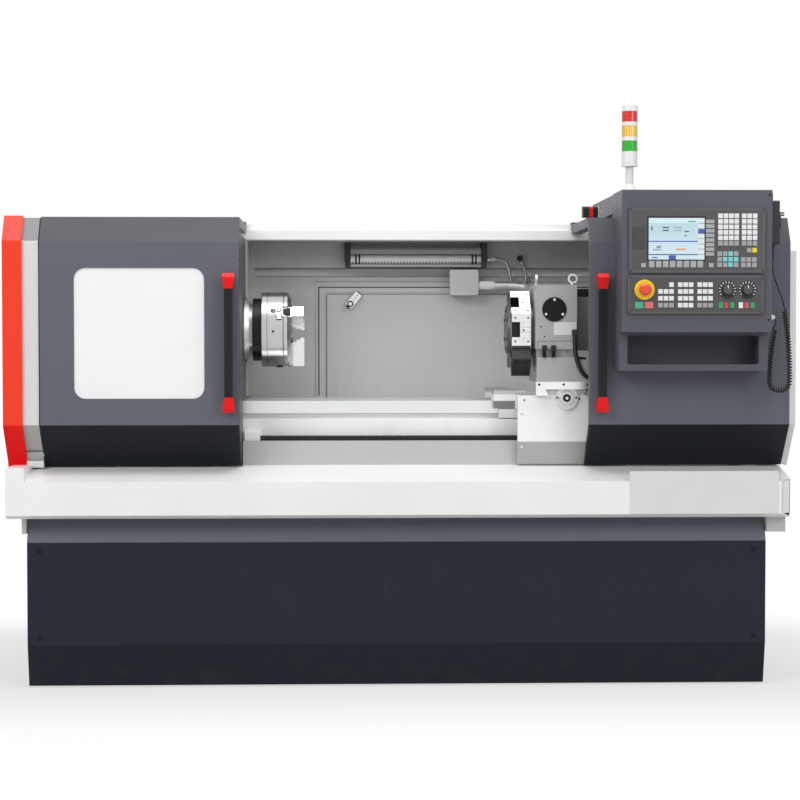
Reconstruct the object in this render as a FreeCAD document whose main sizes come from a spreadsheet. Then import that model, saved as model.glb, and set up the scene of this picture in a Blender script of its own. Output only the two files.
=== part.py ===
"""CNC turning lathe with a flat bed, two sliding doors and a turret. Lengths in millimetres.

+X runs along the bed to the tailstock, -Y faces the operator and Z = 0 is the floor.
The origin lies on the floor, under the spindle axis, midway along the chip tray.
"""
import FreeCAD
import Part
import Sketcher
import math
import os

V = FreeCAD.Vector
doc = FreeCAD.newDocument("turning_lathe")
sheet = doc.addObject("Spreadsheet::Sheet", "Sizes")
nodes = []


# ---------------------------------------------------------------- sizes and their formulas

class Size:
    """A length that carries its value and its formula in the sheet."""

    def __init__(self, value, formula):
        self.value = value
        self.formula = formula

    def __add__(self, other):
        other = as_size(other)
        return Size(self.value + other.value, f"({self.formula} + {other.formula})")

    def __sub__(self, other):
        other = as_size(other)
        return Size(self.value - other.value, f"({self.formula} - {other.formula})")

    def __mul__(self, factor):
        factor = as_size(factor)
        return Size(self.value * factor.value, f"({self.formula} * {factor.formula})")

    def __truediv__(self, divisor):
        divisor = as_size(divisor)
        return Size(self.value / divisor.value, f"({self.formula} / {divisor.formula})")

    def __radd__(self, other):
        return as_size(other) + self

    def __rsub__(self, other):
        return as_size(other) - self

    def __rmul__(self, factor):
        return as_size(factor) * self

    def __neg__(self):
        return Size(-self.value, f"(0 - {self.formula})")

    def __float__(self):
        return float(self.value)


def as_size(quantity):
    if isinstance(quantity, Size):
        return quantity
    return Size(float(quantity), f"({float(quantity):.9g})")


def size(alias, value):
    """A driving dimension: one named cell of the sheet."""
    row = size.rows = getattr(size, "rows", 0) + 1
    sheet.set(f"A{row}", alias)
    sheet.set(f"B{row}", str(value))
    sheet.setAlias(f"B{row}", alias)
    return Size(float(value), "Sizes." + alias)


def bind(part, path, quantity):
    """Ties one property of an object to the sheet."""
    if isinstance(quantity, Size):
        part.setExpression(path, quantity.formula)


def node(label, part):
    """Names a finished sub-part."""
    part.Label = label
    nodes.append(part)
    return part


# ---------------------------------------------------------------- primitives and booleans

def box(name, x, y, z):
    """A block between two coordinates on each axis."""
    part = doc.addObject("Part::Box", name)
    starts = [float(pair[0]) for pair in (x, y, z)]
    part.Placement = FreeCAD.Placement(V(*starts), FreeCAD.Rotation())
    for axis, side, pair in (("x", "Length", x), ("y", "Width", y), ("z", "Height", z)):
        span = as_size(pair[1]) - pair[0]
        setattr(part, side, span.value)
        bind(part, side, span)
        bind(part, "Placement.Base." + axis, pair[0])
    return part


AXIS_TURN = {
    "X": FreeCAD.Rotation(V(0, 1, 0), 90),
    "Y": FreeCAD.Rotation(V(1, 0, 0), -90),
    "Z": FreeCAD.Rotation(),
}


def along(axis, start, across):
    """The point at start on an axis whose two other coordinates are across, in X, Y, Z order."""
    if axis == "X":
        return (start, across[0], across[1])
    if axis == "Y":
        return (across[0], start, across[1])
    return (across[0], across[1], start)


def round_bar(name, axis, span, across, radius):
    """A cylinder along an axis."""
    part = doc.addObject("Part::Cylinder", name)
    place = along(axis, span[0], across)
    part.Placement = FreeCAD.Placement(V(*[float(p) for p in place]), AXIS_TURN[axis])
    length = as_size(span[1]) - span[0]
    part.Radius = float(radius)
    part.Height = length.value
    bind(part, "Radius", radius)
    bind(part, "Height", length)
    for letter, coordinate in zip("xyz", place):
        bind(part, "Placement.Base." + letter, coordinate)
    return part


def tapered_bar(name, axis, span, across, start_radius, end_radius):
    """A cone frustum along an axis."""
    part = doc.addObject("Part::Cone", name)
    place = along(axis, span[0], across)
    part.Placement = FreeCAD.Placement(V(*[float(p) for p in place]), AXIS_TURN[axis])
    length = as_size(span[1]) - span[0]
    for path, quantity in (("Radius1", start_radius), ("Radius2", end_radius), ("Height", length)):
        setattr(part, path, float(quantity))
        bind(part, path, quantity)
    for letter, coordinate in zip("xyz", place):
        bind(part, "Placement.Base." + letter, coordinate)
    return part


def fuse(name, parts):
    part = doc.addObject("Part::MultiFuse", name)
    part.Shapes = parts
    part.Refine = True
    return part


def cut(name, base, tools):
    part = doc.addObject("Part::Cut", name)
    part.Base = base
    part.Tool = tools[0] if len(tools) == 1 else together(name + "_tools", tools)
    part.Refine = True
    return part


def together(name, parts):
    """Separate solids held in one object."""
    part = doc.addObject("Part::Compound", name)
    part.Links = parts
    return part


def rounded(name, part, axis, radius, test=None):
    """Rounds the straight edges of a part that run along an axis."""
    doc.recompute()
    direction = {"X": V(1, 0, 0), "Y": V(0, 1, 0), "Z": V(0, 0, 1)}[axis]
    picked = []
    for number, edge in enumerate(part.Shape.Edges, 1):
        if edge.Curve.TypeId != "Part::GeomLine":
            continue
        if abs(abs(edge.Curve.Direction.dot(direction)) - 1) > 1e-6:
            continue
        if test is None or test(edge.CenterOfMass):
            picked.append((number, float(radius), float(radius)))
    fillet = doc.addObject("Part::Fillet", name)
    fillet.Base = part
    fillet.Edges = picked
    return fillet


def turned_copies(name, part, centre, axis, count, first=0.0):
    """Copies of a part stepped evenly round an axis."""
    copies = []
    for step in range(count):
        angle = first + 360.0 * step / count
        copy = doc.addObject("Part::Feature", f"{name}_{step + 1}")
        doc.recompute()
        shape = part.Shape.copy()
        shape.rotate(V(*[float(c) for c in centre]), axis, angle)
        copy.Shape = shape
        copies.append(copy)
    return copies


# ---------------------------------------------------------------- sketched bodies

PLANE_ROLE = {"YZ": "YZ_Plane", "XZ": "XZ_Plane", "XY": "XY_Plane"}


def sketch_outline(body, name, plane, corners, offset):
    """A closed outline of straight runs, every corner bound to the sheet."""
    sketch = body.newObject("Sketcher::SketchObject", name)
    for feature in body.Origin.OriginFeatures:
        if feature.Role == PLANE_ROLE[plane]:
            sketch.AttachmentSupport = (feature, [""])
    sketch.MapMode = "FlatFace"
    offset = as_size(offset)
    sketch.AttachmentOffset = FreeCAD.Placement(V(0, 0, offset.value), FreeCAD.Rotation())
    sketch.setExpression("AttachmentOffset.Base.z", offset.formula)
    count = len(corners)
    for index, (across, up) in enumerate(corners):
        after = corners[(index + 1) % count]
        start = V(float(across), float(up), 0)
        sketch.addGeometry(Part.LineSegment(start, V(float(after[0]), float(after[1]), 0)), False)
    for index in range(count):
        sketch.addConstraint(Sketcher.Constraint("Coincident", index, 2, (index + 1) % count, 1))
    for index, corner in enumerate(corners):
        for kind, datum, axis in (("DistanceX", corner[0], -2), ("DistanceY", corner[1], -1)):
            if abs(float(datum)) < 1e-9:
                sketch.addConstraint(Sketcher.Constraint("PointOnObject", index, 1, axis))
                continue
            number = sketch.addConstraint(
                Sketcher.Constraint(kind, -1, 1, index, 1, float(datum)))
            if isinstance(datum, Size):
                sketch.setExpression(f"Constraints[{number}]", datum.formula)
    return sketch


def pad(body, plane, corners, span):
    """Pads an outline between two coordinates on the axis square to its plane."""
    name = f"{body.Name}_pad{len(body.Group)}"
    offset = -as_size(span[1]) if plane == "XZ" else span[0]
    feature = body.newObject("PartDesign::Pad", name)
    feature.Profile = sketch_outline(body, name + "_outline", plane, corners, offset)
    length = as_size(span[1]) - span[0]
    feature.Length = length.value
    bind(feature, "Length", length)
    return feature


def pocket(body, plane, corners, span):
    """Cuts an outline out of a body between two coordinates."""
    name = f"{body.Name}_pocket{len(body.Group)}"
    offset = -as_size(span[0]) if plane == "XZ" else span[1]
    feature = body.newObject("PartDesign::Pocket", name)
    feature.Profile = sketch_outline(body, name + "_outline", plane, corners, offset)
    length = as_size(span[1]) - span[0]
    feature.Length = length.value
    bind(feature, "Length", length)
    return feature


def new_body(name):
    return doc.addObject("PartDesign::Body", name)


def prism(name, plane, corners, span):
    """A body made of one padded outline."""
    body = new_body(name)
    pad(body, plane, corners, span)
    return body


def turned(name, axis, across, profile):
    """A body turned about an axis; the profile holds (place along the axis, radius) corners."""
    body = new_body(name)
    place = along(axis, 0, across)
    turn = {"X": FreeCAD.Rotation(), "Y": FreeCAD.Rotation(V(0, 0, 1), 90),
            "Z": FreeCAD.Rotation(V(0, 1, 0), -90)}[axis]
    body.Placement = FreeCAD.Placement(V(*[float(p) for p in place]), turn)
    for letter, coordinate in zip("xyz", place):
        bind(body, "Placement.Base." + letter, coordinate)
    feature = body.newObject("PartDesign::Revolution", name + "_turn")
    sketch = sketch_outline(body, name + "_profile", "XZ", profile, 0)
    feature.Profile = sketch
    feature.ReferenceAxis = (sketch, ["H_Axis"])
    feature.Angle = 360.0
    return body


# ---------------------------------------------------------------- folded sheets and tubes

def folded_sheet(name, path, thickness, span):
    """Sheet metal folded along a path of (y, z) corners and run along X."""
    corners = [V(float(span[0]), float(y), float(z)) for y, z in path]
    section = Part.makePolygon(corners).makeOffset2D(float(thickness), 2, True, True)
    part = doc.addObject("Part::Feature", name)
    part.Shape = section.extrude(V(float(span[1]) - float(span[0]), 0, 0))
    return part


def route_edges(points, name):
    """Straight runs joined by tangent arcs, each as large as its two runs allow."""
    points = [V(*[float(c) for c in point]) for point in points]
    edges = []
    start = points[0]
    radii = []
    for before, corner, after in zip(points, points[1:], points[2:]):
        way_in = (corner - before).normalize()
        way_out = (after - corner).normalize()
        half_turn = way_in.getAngle(way_out) / 2
        run = min(before.distanceToPoint(corner), corner.distanceToPoint(after))
        radius = 0.45 * run / math.tan(half_turn)
        radii.append(radius)
        reach = 0.45 * run
        first = corner - way_in * reach
        last = corner + way_out * reach
        inward = (way_out - way_in).normalize()
        middle = corner + inward * (radius / math.cos(half_turn) - radius)
        edges.append(Part.LineSegment(start, first).toShape())
        edges.append(Part.Arc(first, middle, last).toShape())
        start = last
    edges.append(Part.LineSegment(start, points[-1]).toShape())
    print(name, "radii", [round(radius, 1) for radius in radii])
    return edges


def cord_tube(name, points, radius):
    """A round cord or conduit swept along its rounded route."""
    return swept_tube(name, route_edges(points, name), float(radius))


def swept_tube(name, edges, radius):
    """A round solid swept along joined edges."""
    wire = Part.Wire(edges)
    start = edges[0].valueAt(edges[0].FirstParameter)
    way = edges[0].tangentAt(edges[0].FirstParameter)
    rim = Part.Wire([Part.makeCircle(radius, start, way)])
    shape = wire.makePipeShell([rim], True, False)
    print(name, "length", round(wire.Length, 1),
          "volume share", round(shape.Volume / (math.pi * radius ** 2 * wire.Length), 4))
    part = doc.addObject("Part::Feature", name)
    part.Shape = shape
    return part


# ---------------------------------------------------------------- the curly cord

def place_on(edges, distance):
    """The point and the direction at a distance along joined edges."""
    for edge in edges:
        if distance <= edge.Length or edge is edges[-1]:
            at = edge.getParameterByLength(max(0.0, min(distance, edge.Length)))
            return edge.valueAt(at), edge.tangentAt(at)
        distance -= edge.Length


def arc_between(start, end, knee):
    """The arc that leaves its start towards the knee and comes to its end from there."""
    half = math.cos((knee - start).getAngle(end - start))
    middle = (start + end + knee * (2 * half)) * (1 / (2 + 2 * half))
    return Part.Arc(start, middle, end).toShape()


def biarc(start, way_in, end, way_out):
    """Two arcs that leave one point and reach another in given directions."""
    chord = end - start
    square = 2 * way_in.dot(way_out) - 2
    line = -2 * chord.dot(way_in + way_out)
    reach = (-line - math.sqrt(line * line - 4 * square * chord.dot(chord))) / (2 * square)
    first = start + way_in * reach
    second = end - way_out * reach
    joint = (first + second) * 0.5
    return [arc_between(start, joint, first), arc_between(joint, end, second)]


def curl_edges(middle, run_in):
    """Half turns round a line, with a short way in and out of the coil."""
    side = V(0, 1, 0)
    reach = sum(edge.Length for edge in middle)
    halves = int(2 * (reach - 2 * run_in) / float(curl_pitch))
    print("curls", halves / 2)

    def on_coil(half):
        place, way = place_on(middle, run_in + (reach - 2 * run_in) * half / halves)
        turn = math.pi * half
        out = way.cross(side).normalize()
        return place + (out * math.cos(turn) + side * math.sin(turn)) * float(curl_radius)

    stops = [place_on(middle, 0.0)]
    for half in range(halves + 1):
        way = (on_coil(half + 0.02) - on_coil(half - 0.02)).normalize()
        stops.append((on_coil(half), way))
    stops.append(place_on(middle, reach))
    edges = []
    for (start, way_in), (end, way_out) in zip(stops, stops[1:]):
        edges += biarc(start, way_in, end, way_out)
    return edges


def least_gap(edges, radius):
    """The smallest clearance of a tube from itself, on points a millimetre apart."""
    places = []
    run = 0.0
    for edge in edges:
        steps = max(2, int(edge.Length))
        for step in range(steps):
            along_edge = edge.Length * step / steps
            places.append((run + along_edge, edge.valueAt(edge.getParameterByLength(along_edge))))
        run += edge.Length
    least = 1e9
    for index, (here, place) in enumerate(places):
        for there, other in places[index + 1:]:
            if there - here > 140:
                break
            if there - here > 8 * radius:
                least = min(least, place.distanceToPoint(other))
    return least - 2 * radius


def curly_cord(name, lead, curls, tail):
    """One unbroken cord: a straight lead, its curls and a short tail."""
    edges = route_edges(lead, name + "_lead")
    edges += curl_edges(route_edges(curls, name + "_middle"), 10)
    edges += route_edges(tail, name + "_tail")
    radius = float(cord_radius)
    print(name, "least gap to itself", round(least_gap(edges, radius), 3))
    return swept_tube(name, edges, radius)


# ---------------------------------------------------------------- driving dimensions

gap = size("running_gap", 0.3)
sheet_metal = size("sheet_metal", 3)
spindle_height = size("spindle_height", 1130)

swing_radius = size("swing_radius", 233)
bed_bottom = size("bed_bottom", 560)
way_top = spindle_height - swing_radius
way_lip = size("way_lip", 43)
way_outside = size("way_outside", 170)
way_inside = size("way_inside", 100)
bed_half_width = size("bed_half_width", 200)
way_height = size("way_height", 59)
bed_shelf = way_top - way_height
bed_wall = size("bed_wall", 30)
bed_left = size("bed_left", -1000)
bed_right = size("bed_right", 1150)

partition_face = size("partition_face", -500)

tray_front = size("tray_front", -500)
tray_left = size("tray_left", -1222)
tray_right = size("tray_right", 1236)
tray_skirt_low = size("tray_skirt_low", 556)
tray_skirt_high = size("tray_skirt_high", 656)
ledge_back = size("ledge_back", -305)
ledge_high = size("ledge_high", 690)
tray_panel = size("tray_panel", -262)
tray_panel_high = size("tray_panel_high", 771)
tray_back = size("tray_back", 322)
tray_sheet = size("tray_sheet", 4)
tray_under = size("tray_under", 540)
tray_corner = size("tray_corner", 34)

frame_left = size("frame_left", -1150)
frame_right = size("frame_right", 1150)
frame_front = size("frame_front", -350)
frame_back = size("frame_back", 318)
frame_bottom = size("frame_bottom", 25)
cover_front = size("cover_front", -440)
cover_left = size("cover_left", -1165)
cover_right = size("cover_right", 1165)

rail_front = size("rail_front", 60)
rail_depth = size("rail_depth", 60)
rail_rise = size("rail_rise", 305)
rail_height = size("rail_height", 31)
rail_low = spindle_height + rail_rise
rail_deck = rail_low + rail_height
rail_bar_top = rail_deck + 21
rail_bar_width = size("rail_bar_width", 20)

door_front = size("door_front", -430)
door_depth = size("door_depth", 30)
upper_fold = size("upper_fold", 80)
door_top = rail_low + 50
door_upper_bend = door_top - upper_fold
door_lower_bend = size("door_lower_bend", 830)
door_bottom = size("door_bottom", 694)
door_top_setback = size("door_top_setback", 48)
door_bottom_setback = size("door_bottom_setback", 118)
left_door_left = size("left_door_left", -1123)
left_door_width = size("left_door_width", 622)
right_door_left = size("right_door_left", 604)
right_door_width = size("right_door_width", 636)
arm_height = size("arm_height", 30)
arm_width = size("arm_width", 34)
handle_height = size("handle_height", 436)
handle_width = size("handle_width", 36)
handle_low = size("handle_low", 870)
handle_reach = size("handle_reach", 42)
grip_width = size("grip_width", 26)


guard_front = size("guard_front", -388)
machine_left = size("machine_left", -1238)
machine_right = size("machine_right", 1268)
wall_front = size("wall_front", 250)
slot_rise = size("slot_rise", 185)
slot_height = size("slot_height", 28)
slot_channel_depth = size("slot_channel_depth", 40)
wall_low = way_top - 17
slot_low = spindle_height + slot_rise
slot_high = slot_low + slot_height

nose_radius = size("nose_radius", 95)
spindle_radius = size("spindle_radius", 60)
spindle_bore = size("spindle_bore", 41)
chuck_radius = size("chuck_radius", 125)
chuck_start = size("chuck_start", -446)
chuck_thickness = size("chuck_thickness", 100)
backplate_thickness = size("backplate_thickness", 28)
jaw_width = size("jaw_width", 36)
jaw_reach = size("jaw_reach", 43)
jaw_inner = size("jaw_inner", 27)

screw_y = size("screw_y", -226)
screw_drop = size("screw_drop", 131)
screw_z = way_top - screw_drop
screw_radius = size("screw_radius", 20)

saddle_left = size("saddle_left", 389)
saddle_right = size("saddle_right", 703)
carriage_front = size("carriage_front", -300)
saddle_rise = size("saddle_rise", 21)
saddle_top = way_top + saddle_rise
apron_top = way_top - 26
apron_bottom = size("apron_bottom", 695)
wiper_length = size("wiper_length", 70)

slide_middle = size("slide_middle", 546)
slide_half_width = size("slide_half_width", 100)
slide_front = size("slide_front", -318)
slide_length = size("slide_length", 380)
dovetail_height = size("dovetail_height", 19)
slide_height = size("slide_height", 25)
slide_deck = saddle_top + dovetail_height
slide_top = slide_deck + slide_height
dovetail_wide = size("dovetail_wide", 69)
dovetail_narrow = size("dovetail_narrow", 58)

turret_left = size("turret_left", 370)
turret_thickness = size("turret_thickness", 62)
turret_flats = size("turret_flats", 250)
turret_y = size("turret_y", -163)
housing_left = size("housing_left", 445)
housing_right = size("housing_right", 578)
housing_front = size("housing_front", -312)
housing_back = size("housing_back", -80)
housing_drop = size("housing_drop", 63)
housing_height = size("housing_height", 207)
housing_low = spindle_height - housing_drop
housing_top = housing_low + housing_height

tail_left = size("tail_left", 905)
tail_length = size("tail_length", 240)
quill_radius = size("quill_radius", 30)
quill_out = size("quill_out", 45)

box_left = size("box_left", 682)
box_right = size("box_right", 1146)
box_front = size("box_front", -590)
box_drop = size("box_drop", 363)
box_height = size("box_height", 437)
shelf_height_outside = size("shelf_height_outside", 120)
box_low = door_top - box_drop
box_high = box_low + box_height
shelf_low = box_low - shelf_height_outside
shelf_front = size("shelf_front", -538)
display_left = size("display_left", 703)
display_width = size("display_width", 420)
display_rise = size("display_rise", 182)
display_low = box_low + display_rise
display_height = size("display_height", 200)
console_rise = size("console_rise", 56)
console_low = box_low + console_rise
console_height = size("console_height", 118)
console_left = size("console_left", 700)
plate_thickness = size("plate_thickness", 8)

tower_x = size("tower_x", 716)
tower_y = size("tower_y", -510)
tower_radius = size("tower_radius", 25)

foot_radius = size("foot_radius", 48)
foot_stud = size("foot_stud", 10)
foot_inset = size("foot_inset", 70)
cover_foot = size("cover_foot", 6)
cover_foot_lean = size("cover_foot_lean", 28)
stand_wall = size("stand_wall", 8)
shelf_height = size("shelf_height", 200)
motor_radius = size("motor_radius", 125)
motor_height = size("motor_height", 332)
pulley_left = size("pulley_left", -1090)
pulley_width = size("pulley_width", 70)
spindle_pulley_radius = size("spindle_pulley_radius", 95)
motor_pulley_radius = size("motor_pulley_radius", 62)
belt_thickness = size("belt_thickness", 8)
headstock_left = size("headstock_left", -960)
headstock_bore = size("headstock_bore", 90)
shaft_clearance = size("shaft_clearance", 0.05)
motor_face = size("motor_face", 1085)
end_guard_left = size("end_guard_left", 905)
end_guard_rise = size("end_guard_rise", 250)
end_guard_high = spindle_height + end_guard_rise
hatch_size = size("hatch_size", 260)
panel_left = size("panel_left", -229)
panel_right = size("panel_right", 860)
panel_rise = size("panel_rise", 122)
panel_high = spindle_height + panel_rise
latch_x = size("latch_x", -148)
latch_z = panel_high - 33
lamp_left = size("lamp_left", -165)
lamp_right = size("lamp_right", 325)
lamp_height = size("lamp_height", 90)
lamp_low = rail_low - lamp_height
lamp_gland_x = size("lamp_gland_x", 355)
lamp_gland_z = lamp_low + 29
lamp_cord_y = size("lamp_cord_y", 222)
cabinet_left = size("cabinet_left", -1100)
cabinet_right = size("cabinet_right", -300)
cabinet_back = size("cabinet_back", 598)
cabinet_low = size("cabinet_low", 60)
cabinet_high = rail_low + 5
window_left = size("window_left", -1016)
window_width = size("window_width", 407)
window_low = size("window_low", 913)
window_height = size("window_height", 410)
window_corner = size("window_corner", 36)
left_handle_left = size("left_handle_left", -550)
right_handle_left = size("right_handle_left", 624)
jaw_depth = size("jaw_depth", 28)
cap_drop = size("cap_drop", 8)
cap_height = saddle_top - cap_drop
carrier_x = size("carrier_x", 250)
junction_drop = size("junction_drop", 66)
junction_low = slot_low - junction_drop
conduit_y = size("conduit_y", 205)
conduit_z = junction_low + 35
hose_x = size("hose_x", 570)
hose_drop = size("hose_drop", 162)
hose_z = housing_top - hose_drop
tool_slot = size("tool_slot", 49)
boring_radius = size("boring_radius", 12.5)
boring_width = size("boring_width", 80)
boring_reach = size("boring_reach", 50)
tower_rise = size("tower_rise", 77)
tower_base = box_high + tower_rise
pendant_y = size("pendant_y", -520)
pendant_rise = size("pendant_rise", 272)
pendant_low = box_low + pendant_rise
lead_x = size("lead_x", 1162)
gland_z = box_low + 46
curl_drop = size("curl_drop", 196)
curl_top = pendant_low - curl_drop
cord_radius = size("cord_radius", 2)
curl_radius = size("curl_radius", 6.5)
curl_pitch = size("curl_pitch", 8.8)
estop_stem = size("estop_stem", 12)
motor_shaft_radius = size("motor_shaft_radius", 19)
quill_screw_radius = size("quill_screw_radius", 12.5)
handwheel_radius = size("handwheel_radius", 80)
grommet_x = size("grommet_x", 444)
grommet_z = slot_high + 35


# ---------------------------------------------------------------- base, tray and bed

def foot_places():
    """Where the levelling feet stand along the length."""
    return [frame_left + 90, (frame_left + frame_right) / 2, frame_right - 90]


def foot_centres():
    return [(x, y) for x in foot_places() for y in (frame_front + foot_inset, frame_back - foot_inset)]


def make_base():
    """A stand welded from plates, its folded front cover and six levelling feet."""
    top = bed_bottom - tray_sheet
    height = (frame_bottom, top)
    inner_x = (frame_left + stand_wall, frame_right - stand_wall)
    inner_y = (frame_front + stand_wall, frame_back - stand_wall)
    plates = [box("stand_front_plate", (frame_left, frame_right), (frame_front, inner_y[0]), height),
              box("stand_back_plate", (frame_left, frame_right), (inner_y[1], frame_back), height),
              box("stand_left_plate", (frame_left, inner_x[0]), inner_y, height),
              box("stand_right_plate", (inner_x[1], frame_right), inner_y, height)]
    deck = box("stand_deck_plate", inner_x, inner_y, (top - stand_wall, top))
    plates.append(cut("stand_deck", deck, [belt_slot("stand_belt_slot", top)]))

    sill = foot_inset + foot_radius
    sill_top = frame_bottom + 16
    for name, stud_y, y in (("front", frame_front + foot_inset, (inner_y[0], frame_front + sill)),
                            ("back", frame_back - foot_inset, (frame_back - sill, inner_y[1]))):
        plate = box(f"stand_sill_{name}", inner_x, y, (frame_bottom, sill_top))
        holes = [round_bar(f"foot_hole_{name}_{number + 1}", "Z", (frame_bottom - 5, sill_top + 5),
                           (stud_x, stud_y), foot_stud + 0.5)
                 for number, stud_x in enumerate(foot_places())]
        plates.append(cut(f"stand_sill_{name}_drilled", plate, holes))

    third = (frame_right - frame_left) / 6
    for number, place in enumerate((-third, third)):
        plates.append(box(f"stand_rib_{number + 1}", (place, place + stand_wall), inner_y,
                          (sill_top, top - stand_wall)))
    plates.append(box("motor_shelf", (inner_x[0], -third), inner_y,
                      (shelf_height - stand_wall, shelf_height)))
    node("base_frame", together("stand_plates", plates))

    lean_top = cover_front + 35
    foot_line = cover_front + cover_foot_lean
    outside = [(frame_front, tray_under), (lean_top, tray_under), (cover_front, 462),
               (cover_front, 140), (foot_line, cover_foot), (frame_front, cover_foot)]
    inside = [(frame_front + 5, tray_under - sheet_metal), (lean_top + 5, tray_under - sheet_metal),
              (cover_front + sheet_metal, 461), (cover_front + sheet_metal, 141),
              (foot_line + sheet_metal, cover_foot + sheet_metal),
              (frame_front + 5, cover_foot + sheet_metal)]
    cover = prism("front_cover", "YZ", outside, (cover_left, cover_right))
    pocket(cover, "YZ", inside, (cover_left + sheet_metal, cover_right - sheet_metal))

    plugs = []
    for number, (x, z) in enumerate(((cover_left + 38, 434), (cover_right - 38, 434),
                                     (cover_left + 38, 160), (cover_right - 38, 160))):
        plugs.append(round_bar(f"cover_plug_{number + 1}", "Y", (cover_front - 2, cover_front),
                               (x, z), 8))
    node("base_front_cover", fuse("front_cover_whole", [cover] + plugs))

    feet = []
    for number, place in enumerate(foot_centres()):
        shoe = tapered_bar(f"foot_shoe_{number + 1}", "Z", (0, frame_bottom - 9), place,
                           foot_radius - 6, foot_radius - 20)
        nut = round_bar(f"foot_nut_{number + 1}", "Z", (frame_bottom - 10, frame_bottom), place,
                        foot_stud + 8)
        stud = round_bar(f"foot_stud_{number + 1}", "Z", (5, frame_bottom + 40), place, foot_stud)
        feet.append(fuse(f"foot_{number + 1}", [shoe, nut, stud]))
    node("levelling_feet", together("foot_set", feet))


def belt_slot(name, level):
    """The opening that lets the belt pass a floor."""
    return box(name, (pulley_left - 8, pulley_left + pulley_width + 8),
               (-spindle_pulley_radius - 30, spindle_pulley_radius + 30), (level - 20, level + 20))


def make_tray():
    """The chip tray: a floor plate in a rim with a folded front, a sloping ledge and upright ends."""
    low = bed_bottom - tray_sheet
    under = tray_under
    front = folded_sheet(
        "tray_front_sheet",
        [(frame_front, under), (tray_front + 28, under), (tray_front, tray_skirt_low - 4),
         (tray_front, tray_skirt_high), (ledge_back, ledge_high), (tray_panel, ledge_high)],
        tray_sheet, (tray_left, tray_right))
    parts = [front]
    length = (tray_left, tray_right)
    parts.append(box("tray_panel_sheet", (partition_face + 3, motor_face - 5),
                     (tray_panel, tray_panel + tray_sheet), (bed_bottom, tray_panel_high)))
    parts.append(box("tray_panel_foot", length, (tray_panel, tray_panel + tray_sheet),
                     (bed_bottom, ledge_high)))
    parts.append(box("tray_back_wall", length, (tray_back - tray_sheet, tray_back), (low, ledge_high)))
    parts.append(box("tray_riser", length, (frame_front - tray_sheet, frame_front),
                     (under, bed_bottom)))
    outline = [(tray_front + 1, tray_skirt_low), (tray_front + 1, tray_skirt_high - 1),
               (ledge_back, ledge_high - 1), (tray_back, ledge_high - 1), (tray_back, low),
               (frame_front, low), (frame_front, under), (tray_front + 28, under)]
    parts.append(prism("tray_left_end", "YZ", outline, (tray_left, tray_left + tray_sheet)))
    parts.append(prism("tray_right_end", "YZ", outline, (tray_right - tray_sheet, tray_right)))
    parts.append(box("tray_left_block", (tray_left, tray_left + 58), (tray_front, ledge_back - 14),
                     (tray_skirt_high - 40, ledge_high + 10)))
    corner = prism("tray_corner_cut", "XY",
                   [(tray_right - tray_corner, tray_front - 5), (tray_right + 5, tray_front - 5),
                    (tray_right + 5, tray_front + tray_corner), (tray_right, tray_front + tray_corner),
                    (tray_right - tray_corner, tray_front)],
                   (under - 10, ledge_high + 20))
    rim = cut("tray_trimmed", fuse("tray_rim", parts), [corner])
    plate = box("tray_floor_plate", (tray_left + tray_sheet, tray_right - tray_sheet),
                (frame_front, tray_back - tray_sheet), (low, bed_bottom))
    floor = cut("tray_floor", plate, [belt_slot("tray_belt_slot", bed_bottom)])
    node("chip_tray", together("tray_sheets", [rim, floor]))


def make_bed():
    """A cast bed: two flat ways on a trough section tied by cross ribs."""
    shelf = way_top - way_lip
    inner = way_inside + bed_wall
    right_half = [(bed_half_width, bed_bottom), (bed_half_width, bed_shelf),
                  (way_outside - 20, bed_shelf), (way_outside - 20, shelf), (way_outside, shelf),
                  (way_outside, way_top), (way_inside, way_top), (way_inside, shelf),
                  (inner, shelf - 20), (inner, bed_bottom + 60)]
    left_half = [(-y, z) for y, z in reversed(right_half)]
    section = prism("bed_section", "YZ", right_half + left_half, (bed_left, bed_right))
    rib_count = 8
    step = (bed_right - bed_left - 60) / (rib_count - 1)
    parts = [section]
    for number in range(rib_count):
        start = bed_left + step * number + 15
        parts.append(box(f"bed_rib_{number + 1}", (start, start + 30), (-inner - 2, inner + 2),
                         (bed_bottom + 30, way_top - 80)))
    block_y = (screw_y - 28, -bed_half_width + 2)
    block_z = (screw_z - 34, screw_z + 34)
    parts.append(box("screw_block_left", (partition_face + 8, partition_face + 58), block_y, block_z))
    parts.append(box("screw_block_right", (motor_face - 60, motor_face), block_y, block_z))
    bore = round_bar("screw_bore", "X", (partition_face, motor_face + 5), (screw_y, screw_z),
                     screw_radius + shaft_clearance)
    notch = box("bed_motor_notch", (motor_face, bed_right + 5), (-bed_half_width - 5, 20 - way_outside),
                (screw_z - 80, bed_shelf))
    node("bed", cut("bed_bored", fuse("bed_casting", parts), [bore, notch]))


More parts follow.
